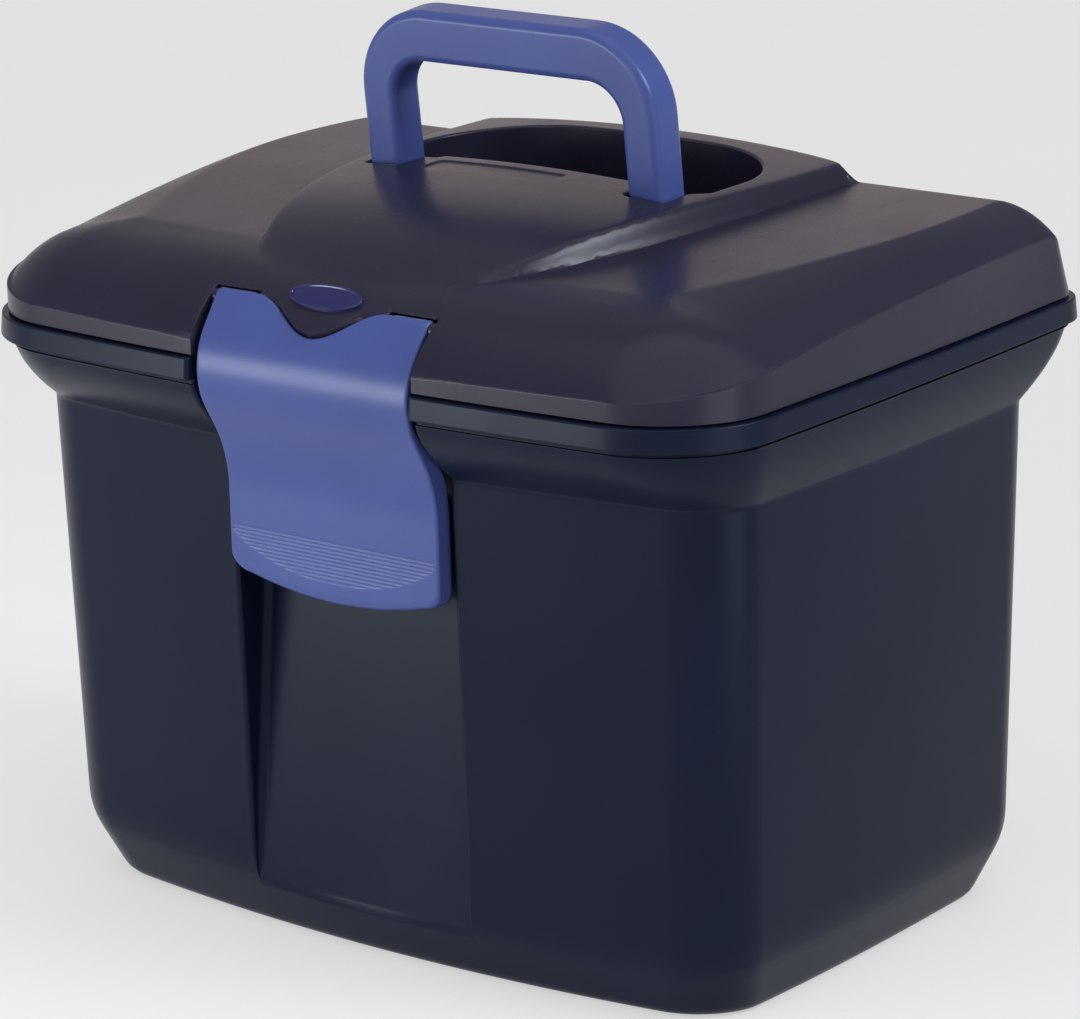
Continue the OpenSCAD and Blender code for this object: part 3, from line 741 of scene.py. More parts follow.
def slope_share(x, y):
    """Share of the way up the slope on the lid's front and sides, past 1 on the plateau."""
    run = np.minimum(LID_RUN, SIDE_RUN + (LID_RUN - SIDE_RUN) * ((y - RUN_Y) / RUN_REACH) ** 2)
    hw = LID_HALF - SIDE_BOW * (y / LID_FRONT) ** 2 - lean(y)
    reach = LID_FRONT - RIM_BOW * (x / LID_HALF) ** 2
    qx, qy = np.abs(x) - (hw - RIM_R), -y - (reach - RIM_R)
    inner = np.hypot(np.maximum(qx, 0), np.maximum(qy, 0)) + np.minimum(np.maximum(qx, qy), 0)
    return np.maximum(RIM_R - inner, 0) / run


def rear_share(y):
    """Share of the way up the slope on the lid's rear."""
    return np.maximum(LID_REAR - lean(y) - y, 0) / REAR_RUN


def lid_rise(x, y):
    """Height of the lid without its crown."""
    away = np.clip((ARCH_Y - y) / ARCH_REACH, 0, 1) ** 2
    climb = smooth_min((y - CREASE_Y) / CLIMB_RUN, np.ones_like(y), CLIMB_SOFT)
    plateau = CREASE_Z + LID_CLIMB * np.clip(climb, 0, 1)
    edge = LIP_Z + SIDE_ARCH * (1 - away)
    crease = mix(SIDE_CREASE, FRONT_CREASE, away)
    t = np.clip(smooth_min(slope_share(x, y), np.ones_like(x), CREASE_SOFT), 0, 1)
    side = (plateau - edge) * (1 - (1 - crease) * (1 - (1 - t) ** SLOPE_POWER) - crease * t)
    t = np.clip(smooth_min(rear_share(y), np.ones_like(y), CREASE_SOFT), 0, 1)
    rear = (plateau - LIP_Z - REAR_LIP) * (1 - t) ** REAR_POWER
    return plateau - (side ** REAR_ROUND + rear ** REAR_ROUND) ** (1 / REAR_ROUND)


def crown_reach(x, y):
    """Signed distance of a point outside the crown's edge."""
    dy = y - CROWN_REAR
    long = np.where(dy < 0, CROWN_FRONT, CROWN_BACK)
    u, v = np.abs(x) / CROWN_W, np.abs(dy) / long
    q = np.maximum((u ** CROWN_POWER + v ** CROWN_POWER) ** (1 / CROWN_POWER), TINY)
    steep = np.hypot((u / q) ** (CROWN_POWER - 1) / CROWN_W, (v / q) ** (CROWN_POWER - 1) / long)
    return (q - 1) / np.maximum(steep, TINY)


def lid_top(x, y):
    """Height of the lid with its crown."""
    x, y = np.asarray(x, float), np.asarray(y, float)
    s = np.clip((CROWN_REAR - y) / CROWN_FRONT, 0, 1)
    narrow = (CHEEK_W / CROWN_W) ** CROWN_POWER
    hw = CROWN_W * np.maximum(1 - s ** CROWN_POWER, narrow) ** (1 / CROWN_POWER)
    out = crown_reach(x, y)
    ramp = (out + np.hypot(out, CHEEK_SOFT)) / 2
    crown = CROWN_Z - CROWN_FALL * s ** CROWN_FALL_POWER - CROWN_DOME * np.minimum(x / hw, DOME_LIMIT) ** 2
    return smooth_max(lid_rise(x, y), crown - CHEEK_SLOPE * ramp, CHEEK_FOOT)


def lid_loop(inset):
    """The lid's foot from the right side of the pocket round to its left side."""
    away = BAND_PROUD + inset
    y = front_at(POCKET_HALF, away, away, RIM_BOW)
    middle = [(-POCKET_HALF, y), (POCKET_HALF, y)]
    ring = outline(away, away, RIM_R - BAND_PROUD - inset, REAR_R - BAND_PROUD - inset, RIM_BOW, middle)
    return ring[WING_STEPS + 1:] + ring[:WING_STEPS + 1]


def lid_edge(inset):
    """The lid's edge above its leaning sides."""
    foot = np.array(lid_loop(inset))
    return [tuple(p) for p in move_left(foot, np.gradient(foot, axis=0), lean(foot[:, 1])[:, None])]


def latch_top(x):
    """Length down the latch's face where it starts, below 0 where a wing wraps over the roll."""
    notch = (1 + math.cos(math.pi * min(1, abs(x) / NOTCH_HALF))) / 2
    return mix(-WING_WRAP, NOTCH_DEEP, notch)


def slot_edge(x):
    """Where the lid's top ends behind the latch's wings."""
    start = LATCH_AXIS + ROLL_CLEAR * np.array((math.sin(LATCH_TILT), math.cos(LATCH_TILT)))
    near, far, tries = SLOT_SEARCH
    y = np.linspace(start[0] + near, start[0] + far, tries)
    over = lid_top(np.full_like(y, x), y) - start[1] - (start[0] - y) * math.tan(LATCH_TILT)
    return float(np.interp(0, over, y))


def snout_edge(x):
    """Where the lid's top ends at the snout between the wings, and how far it dips there."""
    near, far, tries = SNOUT_SEARCH
    y = np.linspace(LATCH_AXIS[0] + near, LATCH_AXIS[0] + far, tries)
    away = np.hypot(y - LATCH_AXIS[0], lid_top(np.full_like(y, x), y) - LATCH_AXIS[1])
    least = int(np.argmin(away))
    reach = math.hypot(ROLL_R, max(0, latch_top(x))) - SNOUT_GAP
    if reach <= away[least]:
        return float(y[least]), float(away[least] - reach)
    return float(np.interp(-reach, -away[:least + 1], y[:least + 1])), 0


def well_loop():
    """The well's edge with the slots for the handle's legs, anticlockwise."""
    slot = [(SLOT_IN, WELL_FRONT), (SLOT_IN, SLOT_STEP), (LEG_IN, SLOT_STEP), (LEG_IN, LEG_FRONT),
            (LEG_OUT, LEG_FRONT), (LEG_OUT, WELL_FRONT - SLOT_R),
            (WELL_HALF, WELL_FRONT + WELL_HALF - LEG_OUT)]
    front = [(-x, y) for x, y in slot[::-1]] + slot
    x, y = WELL_HALF - WELL_R, WELL_REAR - WELL_R
    rear = arc(x, y, WELL_R, 0, 90, CORNER_STEPS) + arc(-x, y, WELL_R, 90, 180, CORNER_STEPS)
    path = eased(front + rear, [SLOT_R] * len(front) + [0] * len(rear), closed=True)
    return resample(path, WELL_SPACING)


def crease_ring(share):
    """A curve at a share of the way up the slope round the lid."""
    points = []
    for a in np.radians(np.arange(0, 360, CREASE_TURN)):
        reach = np.linspace(0, RIM_HALF + RIM_FRONT, CREASE_TRIES)
        x, y = reach * math.cos(a), reach * math.sin(a)
        up = np.minimum(slope_share(x, y), rear_share(y)) - share
        last = int(np.nonzero(up > 0)[0].max())
        far = reach[last] + (reach[1] - reach[0]) * up[last] / (up[last] - up[last + 1])
        points.append((far * math.cos(a), far * math.sin(a)))
    return resample(points, CREASE_SPACING)


def plate_ring(inset):
    """The edge of the shallow plate mark ahead of the well."""
    (x0, y0), (x1, y1) = np.add(PLATE_LOW, inset), np.subtract(PLATE_HIGH, inset)
    corners = [(x0, y0), (x1, y0), (x1, y1), (x0, y1)]
    return resample(eased(corners, [PLATE_R - inset] * 4, closed=True), PLATE_SPACING)


class Seeds:
    """Points strewn over a plan, each kept only where there is room for it."""

    def __init__(self, spacing):
        self.points = []
        self.cells = {}
        self.size = spacing

    def near(self, x, y, room):
        i, j = int(x // self.size), int(y // self.size)
        reach = int(room // self.size) + 1
        for a in range(i - reach, i + reach + 1):
            for b in range(j - reach, j + reach + 1):
                for px, py in self.cells.get((a, b), ()):
                    if (px - x) ** 2 + (py - y) ** 2 < room * room:
                        return True
        return False

    def put(self, points, room):
        for x, y in points:
            x, y = float(x), float(y)
            if room == 0 or not self.near(x, y, room):
                self.points.append((x, y))
                self.cells.setdefault((int(x // self.size), int(y // self.size)), []).append((x, y))


def crown_ring(out):
    """A curve at a distance outside the crown's edge."""
    points = []
    for a in np.radians(np.arange(0, 360, CROWN_TURN)):
        c, s = math.cos(a), math.sin(a)
        long = CROWN_BACK if s > 0 else CROWN_FRONT
        x = CROWN_W * math.copysign(abs(c) ** (2 / CROWN_POWER), c)
        y = CROWN_REAR + long * math.copysign(abs(s) ** (2 / CROWN_POWER), s)
        points.append((x, y))
    return inset_loop(resample(points, CROWN_SPACING), -out)


def lid_seeds(rim, well, pocket_path):
    """Points over the lid's top, those on its edges first, and how many lie on its edges."""
    seeds = Seeds(SEED_CELL)
    seeds.put(rim, 0)
    seeds.put(well, 0)
    fixed = len(seeds.points)
    path = resample(pocket_path, POCKET_SPACING, closed=False)
    for d in POCKET_ROWS:
        seeds.put(move_left(path, np.gradient(path, axis=0), d), FINE_ROOM)
    for d in WELL_ROWS:
        seeds.put(inset_loop(well, -d), WELL_ROOM)
    for d in EDGE_ROWS:
        seeds.put(resample(lid_edge(d), EDGE_SPACING, closed=False), EDGE_ROOM)
    for d in REAR_ROWS:
        across = np.full(len(REAR_X), LID_REAR - SIDE_LEAN - d)
        clear = crown_reach(REAR_X, across) > REAR_CLEAR
        seeds.put(np.stack([REAR_X, across], axis=1)[clear], EDGE_ROOM)
    for d in PLATE_ROWS:
        seeds.put(plate_ring(d), FINE_ROOM)
    for d in CROWN_ROWS:
        seeds.put(crown_ring(d), RING_ROOM)
    for share in CREASE_ROWS:
        seeds.put(crease_ring(share), RING_ROOM)
    for k, y in enumerate(np.arange(-LID_FRONT, LID_REAR, FIELD_STEP * FIELD_ROW)):
        aside = (k % 2) * FIELD_STEP / 2
        seeds.put([(x + aside, y) for x in np.arange(-LID_HALF, LID_HALF, FIELD_STEP)], FIELD_ROOM)
    points = np.array(seeds.points)
    keep = inside(np.array(rim), *points.T) & ~inside(well, *points.T)
    keep[:fixed] = True
    return points[keep], fixed


def lid_shell(skin):
    """The outside of the lid: its top, skirt, well and pocket."""
    edge = lid_edge(LIP_RINGS[0])
    well = well_loop()
    side_y = np.linspace(edge[-1][1], slot_edge(POCKET_HALF), SIDE_COUNT)
    left = [(-POCKET_HALF, y) for y in side_y[1:-1]]
    slot_x = np.linspace(POCKET_HALF, NOTCH_HALF - SNOUT_GAP, SLOT_COUNT)
    left_slot = [(-x, slot_edge(x)) for x in slot_x]
    snout_x = np.linspace(SNOUT_GAP - NOTCH_HALF, NOTCH_HALF - SNOUT_GAP, SNOUT_COUNT)
    found = [snout_edge(x) for x in snout_x]
    snout = [(x, y) for x, (y, _) in zip(snout_x, found)]
    dips = {round(float(x), 3): dip for x, (_, dip) in zip(snout_x, found)}
    right_slot = [(-x, y) for x, y in left_slot[::-1]]
    pocket = left + left_slot + snout + right_slot + [(-x, y) for x, y in left[::-1]]
    rim = list(edge) + pocket
    outer = lid_loop(0)
    pocket_path = [outer[-1]] + pocket + [outer[0]]

    points, fixed = lid_seeds(rim, well, pocket_path)
    loops = [range(len(rim)), range(len(rim), fixed)]
    edges = [(loop[i], loop[(i + 1) % len(loop)]) for loop in loops for i in range(len(loop))]
    flat, _, faces = delaunay_2d_cdt([Vector(p) for p in points], edges, [], 1, MESH_NEAR)[:3]
    flat = np.array(flat)
    x, y = flat[:, 0], flat[:, 1]
    by_pocket = nearness(pocket_path, closed=False)
    z = lid_top(x, y)
    z = z - round_edge(nearness(well)(x, y), WELL_EASE)
    z = z - round_edge(by_pocket(x, y), POCKET_EASE)
    plate = plate_ring(0)
    sunk = np.where(inside(plate, x, y), nearness(plate)(x, y), 0)
    z = z - PLATE_DEEP * smooth_step(sunk / PLATE_EASE)
    for i in np.nonzero(y < LATCH_AXIS[0] + SNOUT_REACH)[0]:
        z[i] -= dips.get(round(float(x[i]), 3), 0)
    marks = skin.add(zip(x, y, z))
    centres = np.array([flat[list(f)].mean(axis=0) for f in faces])
    hole = inside(well, centres[:, 0], centres[:, 1])
    skin.faces += [[marks[i] for i in f] for f, gone in zip(faces, hole) if not gone]

    tree = plan_tree(flat)

    def on_top(path):
        """The sheet's own points along a path of its edge."""
        return [skin.points[marks[tree.find((a, b, 0))[1]]] for a, b in path]

    skirt = [on_top(edge)]
    for d in LIP_RINGS[1:]:
        x, y = np.array(lid_edge(d)).T
        drop = round_edge(by_pocket(x, y), POCKET_EASE) + LIP_EASE * max(0, 1 - d / LIP_EASE_RUN) ** 2
        skirt.append(list(zip(x, y, lid_top(x, y) - drop)))
    over = LID_BOTTOM + GROOVE_H
    feet = [(inset, over + more) for inset, more in LID_FOOT] + [(GROOVE_D, over), (GROOVE_D, LID_BOTTOM)]
    feet = [[(a, b, height + sweep(b)) for a, b in lid_loop(inset)] for inset, height in feet]
    lip = skirt[-1]
    for t in FACET_ROWS:
        skirt.append([tuple(mix(np.array(p), np.array(q), t)) for p, q in zip(lip, feet[0])])
    skirt += feet
    skin.grid(skirt)

    walls = [on_top(well)]
    for inset, height in WELL_WALL:
        walls.append([(a, b, height) for a, b in inset_loop(well, inset)])
    skin.faces.append(skin.grid(walls, closed=True)[-1])

    pocket_skin(skin, on_top, left, left_slot, snout, skirt)


def pocket_skin(skin, on_top, left, left_slot, snout, skirt):
    """The walls of the latch's pocket, from the edge of the lid's top down to the lid's rim."""
    back = LATCH_AXIS + ROLL_CLEAR * np.array((1, -1))
    slope = (back[1] - LIP_Z) / (back[0] - POCKET_LOW)
    shelf = [tuple(back), (POCKET_LOW, LIP_Z), (POCKET_LOW, LID_BOTTOM)]

    def slot_profile(p):
        ring = arc(*LATCH_AXIS, ROLL_CLEAR, 90 - math.degrees(LATCH_TILT), SLOT_END, ROUND_STEPS)
        return [(p[0], *q) for q in [p[1:], *ring, *shelf]]

    def snout_profile(p):
        dy, dz = p[1] - LATCH_AXIS[0], p[2] - LATCH_AXIS[1]
        start = math.degrees(math.atan2(dz, dy)) % 360
        ring = arc(*LATCH_AXIS, math.hypot(dy, dz), start, SNOUT_END, 2 * ROUND_STEPS)[1:]
        ring = [(y, max(z, LIP_Z + slope * (y - POCKET_LOW))) for y, z in ring]
        return [(p[0], *q) for q in [p[1:], *ring, *shelf]]

    for sign in (1, -1):
        tops = on_top([(sign * x, y) for x, y in left_slot])
        slots = [slot_profile(p) for p in tops]
        skin.grid(slots)
        nose = snout_profile(on_top([(sign * -snout[-1][0], snout[-1][1])])[0])
        skin.polygon(slots[-1][:-2] + nose[:-3][::-1])
        end = 0 if sign < 0 else -1
        side = [row[end] for row in skirt]
        face = on_top([(sign * x, y) for x, y in left])
        skin.polygon(slots[0][::-1] + face[::-1] + side)
    skin.grid([snout_profile(p) for p in on_top(snout)])


def lid_share(x, y, z):
    """Share of the lid's wall at a point: none beside the pocket, and a little round the well."""
    if abs(x) < POCKET_HALF + WALL and y < LATCH_AXIS[0] + POCKET_REACH:
        return 0
    along = LEG_FRONT - WELL_MARGIN < y < WELL_REAR + WELL_MARGIN
    if abs(x) < WELL_HALF + WELL_MARGIN and along and z < CROWN_Z - WELL_RIM:
        return WELL_SHARE
    return 1


def lid_knuckles(skin):
    """The middle knuckle of each hinge, on the lid's rear wall."""
    y, z = HINGE_AXIS
    foot = LID_REAR - WALL / 2
    shape = [(foot, z + KNUCKLE_R), (foot, z)] + arc(y, z, KNUCKLE_R, -150, 90, KNUCKLE_STEPS)
    for hinge in (-HINGE_X, HINGE_X):
        skin.prism(shape, hinge - LID_KNUCKLE_W / 2, hinge + LID_KNUCKLE_W / 2, KNUCKLE_EASE)


def latch_bosses(skin):
    """Dark collars on the lid that cover the latch's pins in the gaps beside it."""
    for sign in (-1, 1):
        ends = span(sign, COLLAR_FROM, COLLAR_TO)
        skin.prism(disc(LATCH_AXIS, ROLL_R - COLLAR_IN), *ends, COLLAR_EASE)


def handle_bosses(skin):
    """Collars under the lid that hold the ends of the handle's pins beside the slots."""
    for name in ("handle_pin_left", "handle_pin_right"):
        low, high = (np.array(corner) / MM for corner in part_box(name))
        sign = math.copysign(1, low[0] + high[0])
        near, far = sorted((abs(low[0]), abs(high[0])))
        shape = disc(HANDLE_AXIS, (high[2] - low[2]) / 2 + BOSS_T)
        for ends in ((near - BOSS_OVER, LEG_IN - BOSS_GAP), (LEG_OUT + BOSS_GAP, far + BOSS_OVER)):
            skin.prism(shape, *span(sign, *ends), BOSS_EASE)


# Latch

def heading(a):
    return np.array((-math.sin(a), -math.cos(a)))


def inward(a):
    return np.array((math.cos(a), -math.sin(a)))


BELLY_L = BELLY_R * BELLY_TURN
HOLLOW_L = HOLLOW_R * (BELLY_TURN - LATCH_TILT)
LATCH_RUNS = ((LATCH_TOP, 0), (BELLY_L, -BELLY_R), (LATCH_MID, 0), (HOLLOW_L, HOLLOW_R))
GRIP_START = LATCH_TOP + BELLY_L + LATCH_MID + HOLLOW_L
LATCH_L = GRIP_START + GRIP_L


def latch_at(s, depth):
    """Y and Z at a length down the latch's face and a depth behind it."""
    a = LATCH_TILT - min(s, 0) / ROLL_R
    p = LATCH_AXIS - ROLL_R * inward(a)
    s = max(s, 0)
    for length, r in LATCH_RUNS:
        step = min(max(s, 0), length)
        turn = step / r if r else 0
        p = p + (r * (inward(a + turn) - inward(a)) if r else step * heading(a))
        a += turn
        s -= length
    return p + max(s, 0) * heading(a) + depth * inward(a)


GRIP_Z = latch_at(GRIP_START, 0)[1]
LATCH_LOW = GRIP_Z - GRIP_L
CORNER_Z = LATCH_LOW + GRIP_SAG + GRIP_CORNER


def latch_bottom(x):
    """Height of the latch's lower edge."""
    flat = LATCH_HALF - GRIP_CORNER
    over = abs(x) - flat
    if over <= 0:
        return LATCH_LOW + GRIP_SAG * (x / flat) ** 2
    return CORNER_Z - math.sqrt(max(0, GRIP_CORNER ** 2 - over ** 2))


def grip_length(z):
    """Length down the latch's face at a height on its grip."""
    return GRIP_START + GRIP_Z - z


def lens_edge(x):
    """Height of the ribbed lens's lower edge."""
    return LENS_LOW + LENS_RISE * (abs(x) / LENS_HALF) ** LENS_POWER


def latch_plate(skin):
    """A bent plate with rounded edges, a ribbed grip and a flange that stiffens its lower half."""
    half = [LATCH_HALF - c for c in SIDE_COLUMNS]
    half += list(np.linspace(LATCH_HALF - MIDDLE_FROM, 0, MIDDLE_COUNT))
    columns = [-x for x in half] + half[-2::-1]
    lens_s = grip_length(LENS_TOP) - LENS_ABOVE
    lens_end = grip_length(LENS_LOW) + LENS_BELOW
    levels = END_ROWS + list(np.linspace(BODY_FROM, lens_s, BODY_COUNT))
    levels += list(np.arange(lens_s, lens_end, RIB_PITCH / RIB_ROWS)[1:])
    levels += list(np.linspace(lens_end, LATCH_L - BODY_FROM, GRIP_COUNT))
    levels += [LATCH_L - e for e in END_ROWS[::-1]]

    def place(x, level):
        """Length down the face at a column and a level of the grid."""
        top = latch_top(x)
        end = grip_length(latch_bottom(x))
        if level < UPPER_L:
            return top + level * (UPPER_L - top) / UPPER_L
        bend = min(grip_length(lens_edge(x)) + BEND_OVER, end - BEND_LEAST)
        if level > bend:
            return bend + (level - bend) * (end - bend) / (LATCH_L - bend)
        return level

    faces, backs = [], []
    for level in levels:
        face, back = [], []
        for x in columns:
            s = place(x, level)
            z = latch_at(s, 0)[1]
            low = min(LATCH_HALF - abs(x), z - latch_bottom(x))
            if abs(x) > LATCH_HALF - GRIP_CORNER and z < CORNER_Z:
                low = GRIP_CORNER - math.hypot(abs(x) - LATCH_HALF + GRIP_CORNER, z - CORNER_Z)
            fade = smooth_step((abs(x) - NOTCH_HALF + FADE_FROM) / FADE_RUN)
            near = max(0, min(low, s - latch_top(x) + LATCH_EASE * fade))
            flange = mix(LATCH_T, FLANGE_D, smooth_step((s - FLANGE_FROM) / FLANGE_RUN))
            deep = mix(flange, LATCH_T, smooth_step((low - FLANGE_T + FLANGE_EASE) / FLANGE_EASE))
            mask = smooth_step(min(LENS_TOP - z, z - lens_edge(x), LENS_HALF - abs(x)) / LENS_EASE)
            ease = mix(LATCH_EASE, GRIP_ROUND, smooth_step((CORNER_Z - z) / GRIP_CORNER))
            rib = RIB_H * (0.5 + 0.5 * math.cos(2 * math.pi * (LENS_TOP - z) / RIB_PITCH))
            face.append((x, *latch_at(s, round_edge(near, ease) + mask * (LENS_DEEP - rib))))
            behind = min(deep, ROLL_R / 2) if s < 0 else deep - round_edge(near, BACK_EASE)
            back.append((x, *latch_at(s, behind)))
        faces.append(face)
        backs.append(back)
    front = skin.grid(faces)
    rear = skin.grid(backs)
    loops = []
    for rows in (front, rear):
        loops.append(rows[0] + [r[-1] for r in rows[1:]] + rows[-1][-2::-1] + [r[0] for r in rows[-2:0:-1]])
    skin.strip(*loops, closed=True)
    for sign in (-1, 1):
        skin.prism(disc(LATCH_AXIS, ROLL_R - ROLL_IN), *span(sign, ROLL_FROM, ROLL_TO), ROLL_EASE)
    y = latch_at(LATCH_TOP + BELLY_L, 0)[0] + LATCH_T / 4
    z = KEEPER_LOW[2] - HOOK_GAP
    skin.block((-HOOK_HALF, y, z - HOOK_H), (HOOK_HALF, KEEPER_LOW[1] + HOOK_REACH, z), BLOCK_EASE)


# Handle

def handle_bail(skin):
    """An arch of rounded section on two legs, leaning forwards on its pivots."""
    inner_x, top = HANDLE_HALF - GRIP_W, HANDLE_H - BAR_H
    stations = []
    for a in np.radians(np.linspace(END_TURN, 0, END_STEPS)):
        low = math.sin(a) * GRIP_D / 2
        stations.append(((inner_x, low), (HANDLE_HALF, low), math.cos(a)))
    for t in LEG_MARKS:
        stations.append(((inner_x, (top - INNER_R) * t), (HANDLE_HALF, (HANDLE_H - OUTER_R) * t), 1))
    inside_arc = arc(inner_x - INNER_R, top - INNER_R, INNER_R, 0, 90, BEND_STEPS)
    outside_arc = arc(HANDLE_HALF - OUTER_R, HANDLE_H - OUTER_R, OUTER_R, 0, 90, BEND_STEPS)
    stations += [(a, b, 1) for a, b in zip(inside_arc, outside_arc)]
    for t in BAR_MARKS:
        stations.append(((inside_arc[-1][0] * (1 - t), top), (outside_arc[-1][0] * (1 - t), HANDLE_H), 1))
    mirror = [((-a[0], a[1]), (-b[0], b[1]), d) for a, b, d in stations[::-1]]
    y, z = HANDLE_AXIS
    c, s = math.cos(HANDLE_LEAN), math.sin(HANDLE_LEAN)
    rows = []
    for low, high, deep in stations + [((0, top), (0, HANDLE_H), 1)] + mirror:
        low, high = np.array(low), np.array(high)
        w, d = np.linalg.norm(high - low) / 2, deep * GRIP_D / 2
        along = (high - low) / (2 * w)
        r = min(GRIP_EASE, ROUND_LIMIT * d)
        ring = arc(w - r, d - r, r, 0, 90, ROUND_STEPS) + arc(r - w, d - r, r, 90, 180, ROUND_STEPS)
        ring += [(-u, -v) for u, v in ring]
        points = [((low + high) / 2 + u * along, v) for u, v in ring]
        rows.append([(p[0], y + v * c - p[1] * s, z + v * s + p[1] * c) for p, v in points])
    skin.grid(rows, closed=True, caps=True)


# Badge and tray

def badge_oval(skin):
    """A bare oval plate with a raised rim."""
    middle = (BADGE_LOW + BADGE_HIGH) / 2
    half_w = (BADGE_HIGH[0] - BADGE_LOW[0]) / 2
    rise = lid_top(0, middle[1] + BADGE_HALF) - lid_top(0, middle[1] - BADGE_HALF)
    tilt = math.atan(float(rise / (2 * BADGE_HALF)))
    c, s = math.cos(tilt), math.sin(tilt)
    foot = float(lid_top(0, middle[1]))
    turn = np.radians(np.arange(0, 360, BADGE_TURN))
    rows = []
    for inset, height in BADGE_ROWS:
        u, v = (half_w - inset) * np.cos(turn), (BADGE_HALF - inset) * np.sin(turn)
        rows.append([(a, middle[1] + b * c - height * s, foot + b * s + height * c) for a, b in zip(u, v)])
    skin.grid(rows, closed=True, caps=True)


def round_ring(low, high, inset, r, z):
    """A rounded rectangle at a height."""
    (x0, y0), (x1, y1) = np.add(low, inset), np.subtract(high, inset)
    ring = []
    corners = ((x1 - r, y0 + r, -90), (x1 - r, y1 - r, 0), (x0 + r, y1 - r, 90), (x0 + r, y0 + r, 180))
    for x, y, start in corners:
        ring += arc(x, y, r, start, start + 90, 8)
    return [(a, b, z) for a, b in ring]


def tray_body(skin):
    """An open tray with a beaded rim and two dividers with finger dips."""
    low, high = TRAY_LOW[:2], TRAY_HIGH[:2]
    base, top = TRAY_LOW[2], TRAY_HIGH[2]
    corners = [(TRAY_FLAT, base), (TRAY_DRAFT, base), (0, top - BEAD_FOOT), (-BEAD_OUT, top - BEAD_H),
               (-BEAD_OUT, top), (BEAD_IN, top), (BED_IN, base + TRAY_T), (TRAY_BED, base + TRAY_T)]
    section = eased(corners, TRAY_EASES)
    rings = [round_ring(low, high, inset, TRAY_R - inset, z) for inset, z in section]
    skin.grid(rings, closed=True, caps=True)
    front, rear = low[1] + TRAY_T / 2, high[1] - TRAY_T / 2
    dip_y = (front + rear) / 2
    bed, edge, dip = base + TRAY_T / 2, top - DIVIDER_DROP, top - DIP_DEEP
    shape = [(front, bed), (rear, bed), (rear, edge), (dip_y + DIP_TOP, edge), (dip_y + DIP_FLOOR, dip),
             (dip_y - DIP_FLOOR, dip), (dip_y - DIP_TOP, edge), (front, edge)]
    shape = eased(shape, DIP_EASES, closed=True)
    for x in (-TRAY_HIGH[0] / 3, TRAY_HIGH[0] / 3):
        skin.prism(shape, x - TRAY_T / 2, x + TRAY_T / 2, DIVIDER_EASE)


# Materials

class Material:
    """A node material with the helpers that the finishes share."""

    def __init__(self, name):
        self.data = bpy.data.materials.new(name)
        self.data.use_nodes = True
        self.tree = self.data.node_tree
        self.shader = self.tree.nodes["Principled BSDF"]
        self.place = self.tree.nodes.new("ShaderNodeTexCoord").outputs["Object"]

    def node(self, kind, inputs=None, **settings):
        made = self.tree.nodes.new(kind)
        for key, value in settings.items():
            setattr(made, key, value)
        for key, value in (inputs or {}).items():
            if hasattr(value, "links"):
                self.tree.links.new(value, made.inputs[key])
            else:
                made.inputs[key].default_value = value
        return made

    def noise(self, size, detail=3, place=None):
        inputs = {"Vector": place or self.place, "Scale": 1 / (size * MM), "Detail": detail}
        return self.node("ShaderNodeTexNoise", inputs).outputs["Fac"]

    def fit(self, value, low, high, to_low, to_high):
        inputs = {"Value": value, "From Min": low, "From Max": high, "To Min": to_low, "To Max": to_high}
        return self.node("ShaderNodeMapRange", inputs).outputs["Result"]

    def combine(self, operation, a, b):
        return self.node("ShaderNodeMath", {0: a, 1: b}, operation=operation).outputs[0]

    def blend(self, amount, a, b):
        return self.node("ShaderNodeMix", {0: amount, 6: a, 7: b}, data_type="RGBA").outputs[2]

    def stretched(self, scale, rotation=(0, 0, 0)):
        inputs = {"Vector": self.place, "Scale": scale, "Rotation": rotation}
        return self.node("ShaderNodeMapping", inputs).outputs["Vector"]

    def drive(self, key, value):
        self.tree.links.new(value, self.shader.inputs[key])

    def bump(self, strength, depth, height):
        inputs = {"Strength": strength, "Distance": depth * MM, "Height": height}
        self.drive("Normal", self.node("ShaderNodeBump", inputs).outputs["Normal"])


# Sizes of the patterns in the finishes, and the range of a noise that is spread over a finish
TONE_SIZE = 85
SPECK_SIZE = 1.7
RUB_SIZE = 11
MARK_SIZE = 2.4
MARK_STRETCH, MARK_TURN = (1, 0.16, 0.3), (0.3, 0.2, 0.5)
DULL_SIZE = 38
DULL_RANGE = 0.025
GRAIN_DEEP = 0.4
LINE_SIZE = 0.35
LINE_STRETCH = (0.05, 1, 1)
SHEEN_SIZE = 4
FLOOR_TONE_SIZE, FLOOR_DULL_SIZE = 400, 60
SPREAD = (0.3, 0.7)


def shade(colour, factor):
    return (*(c * factor for c in colour), 1)


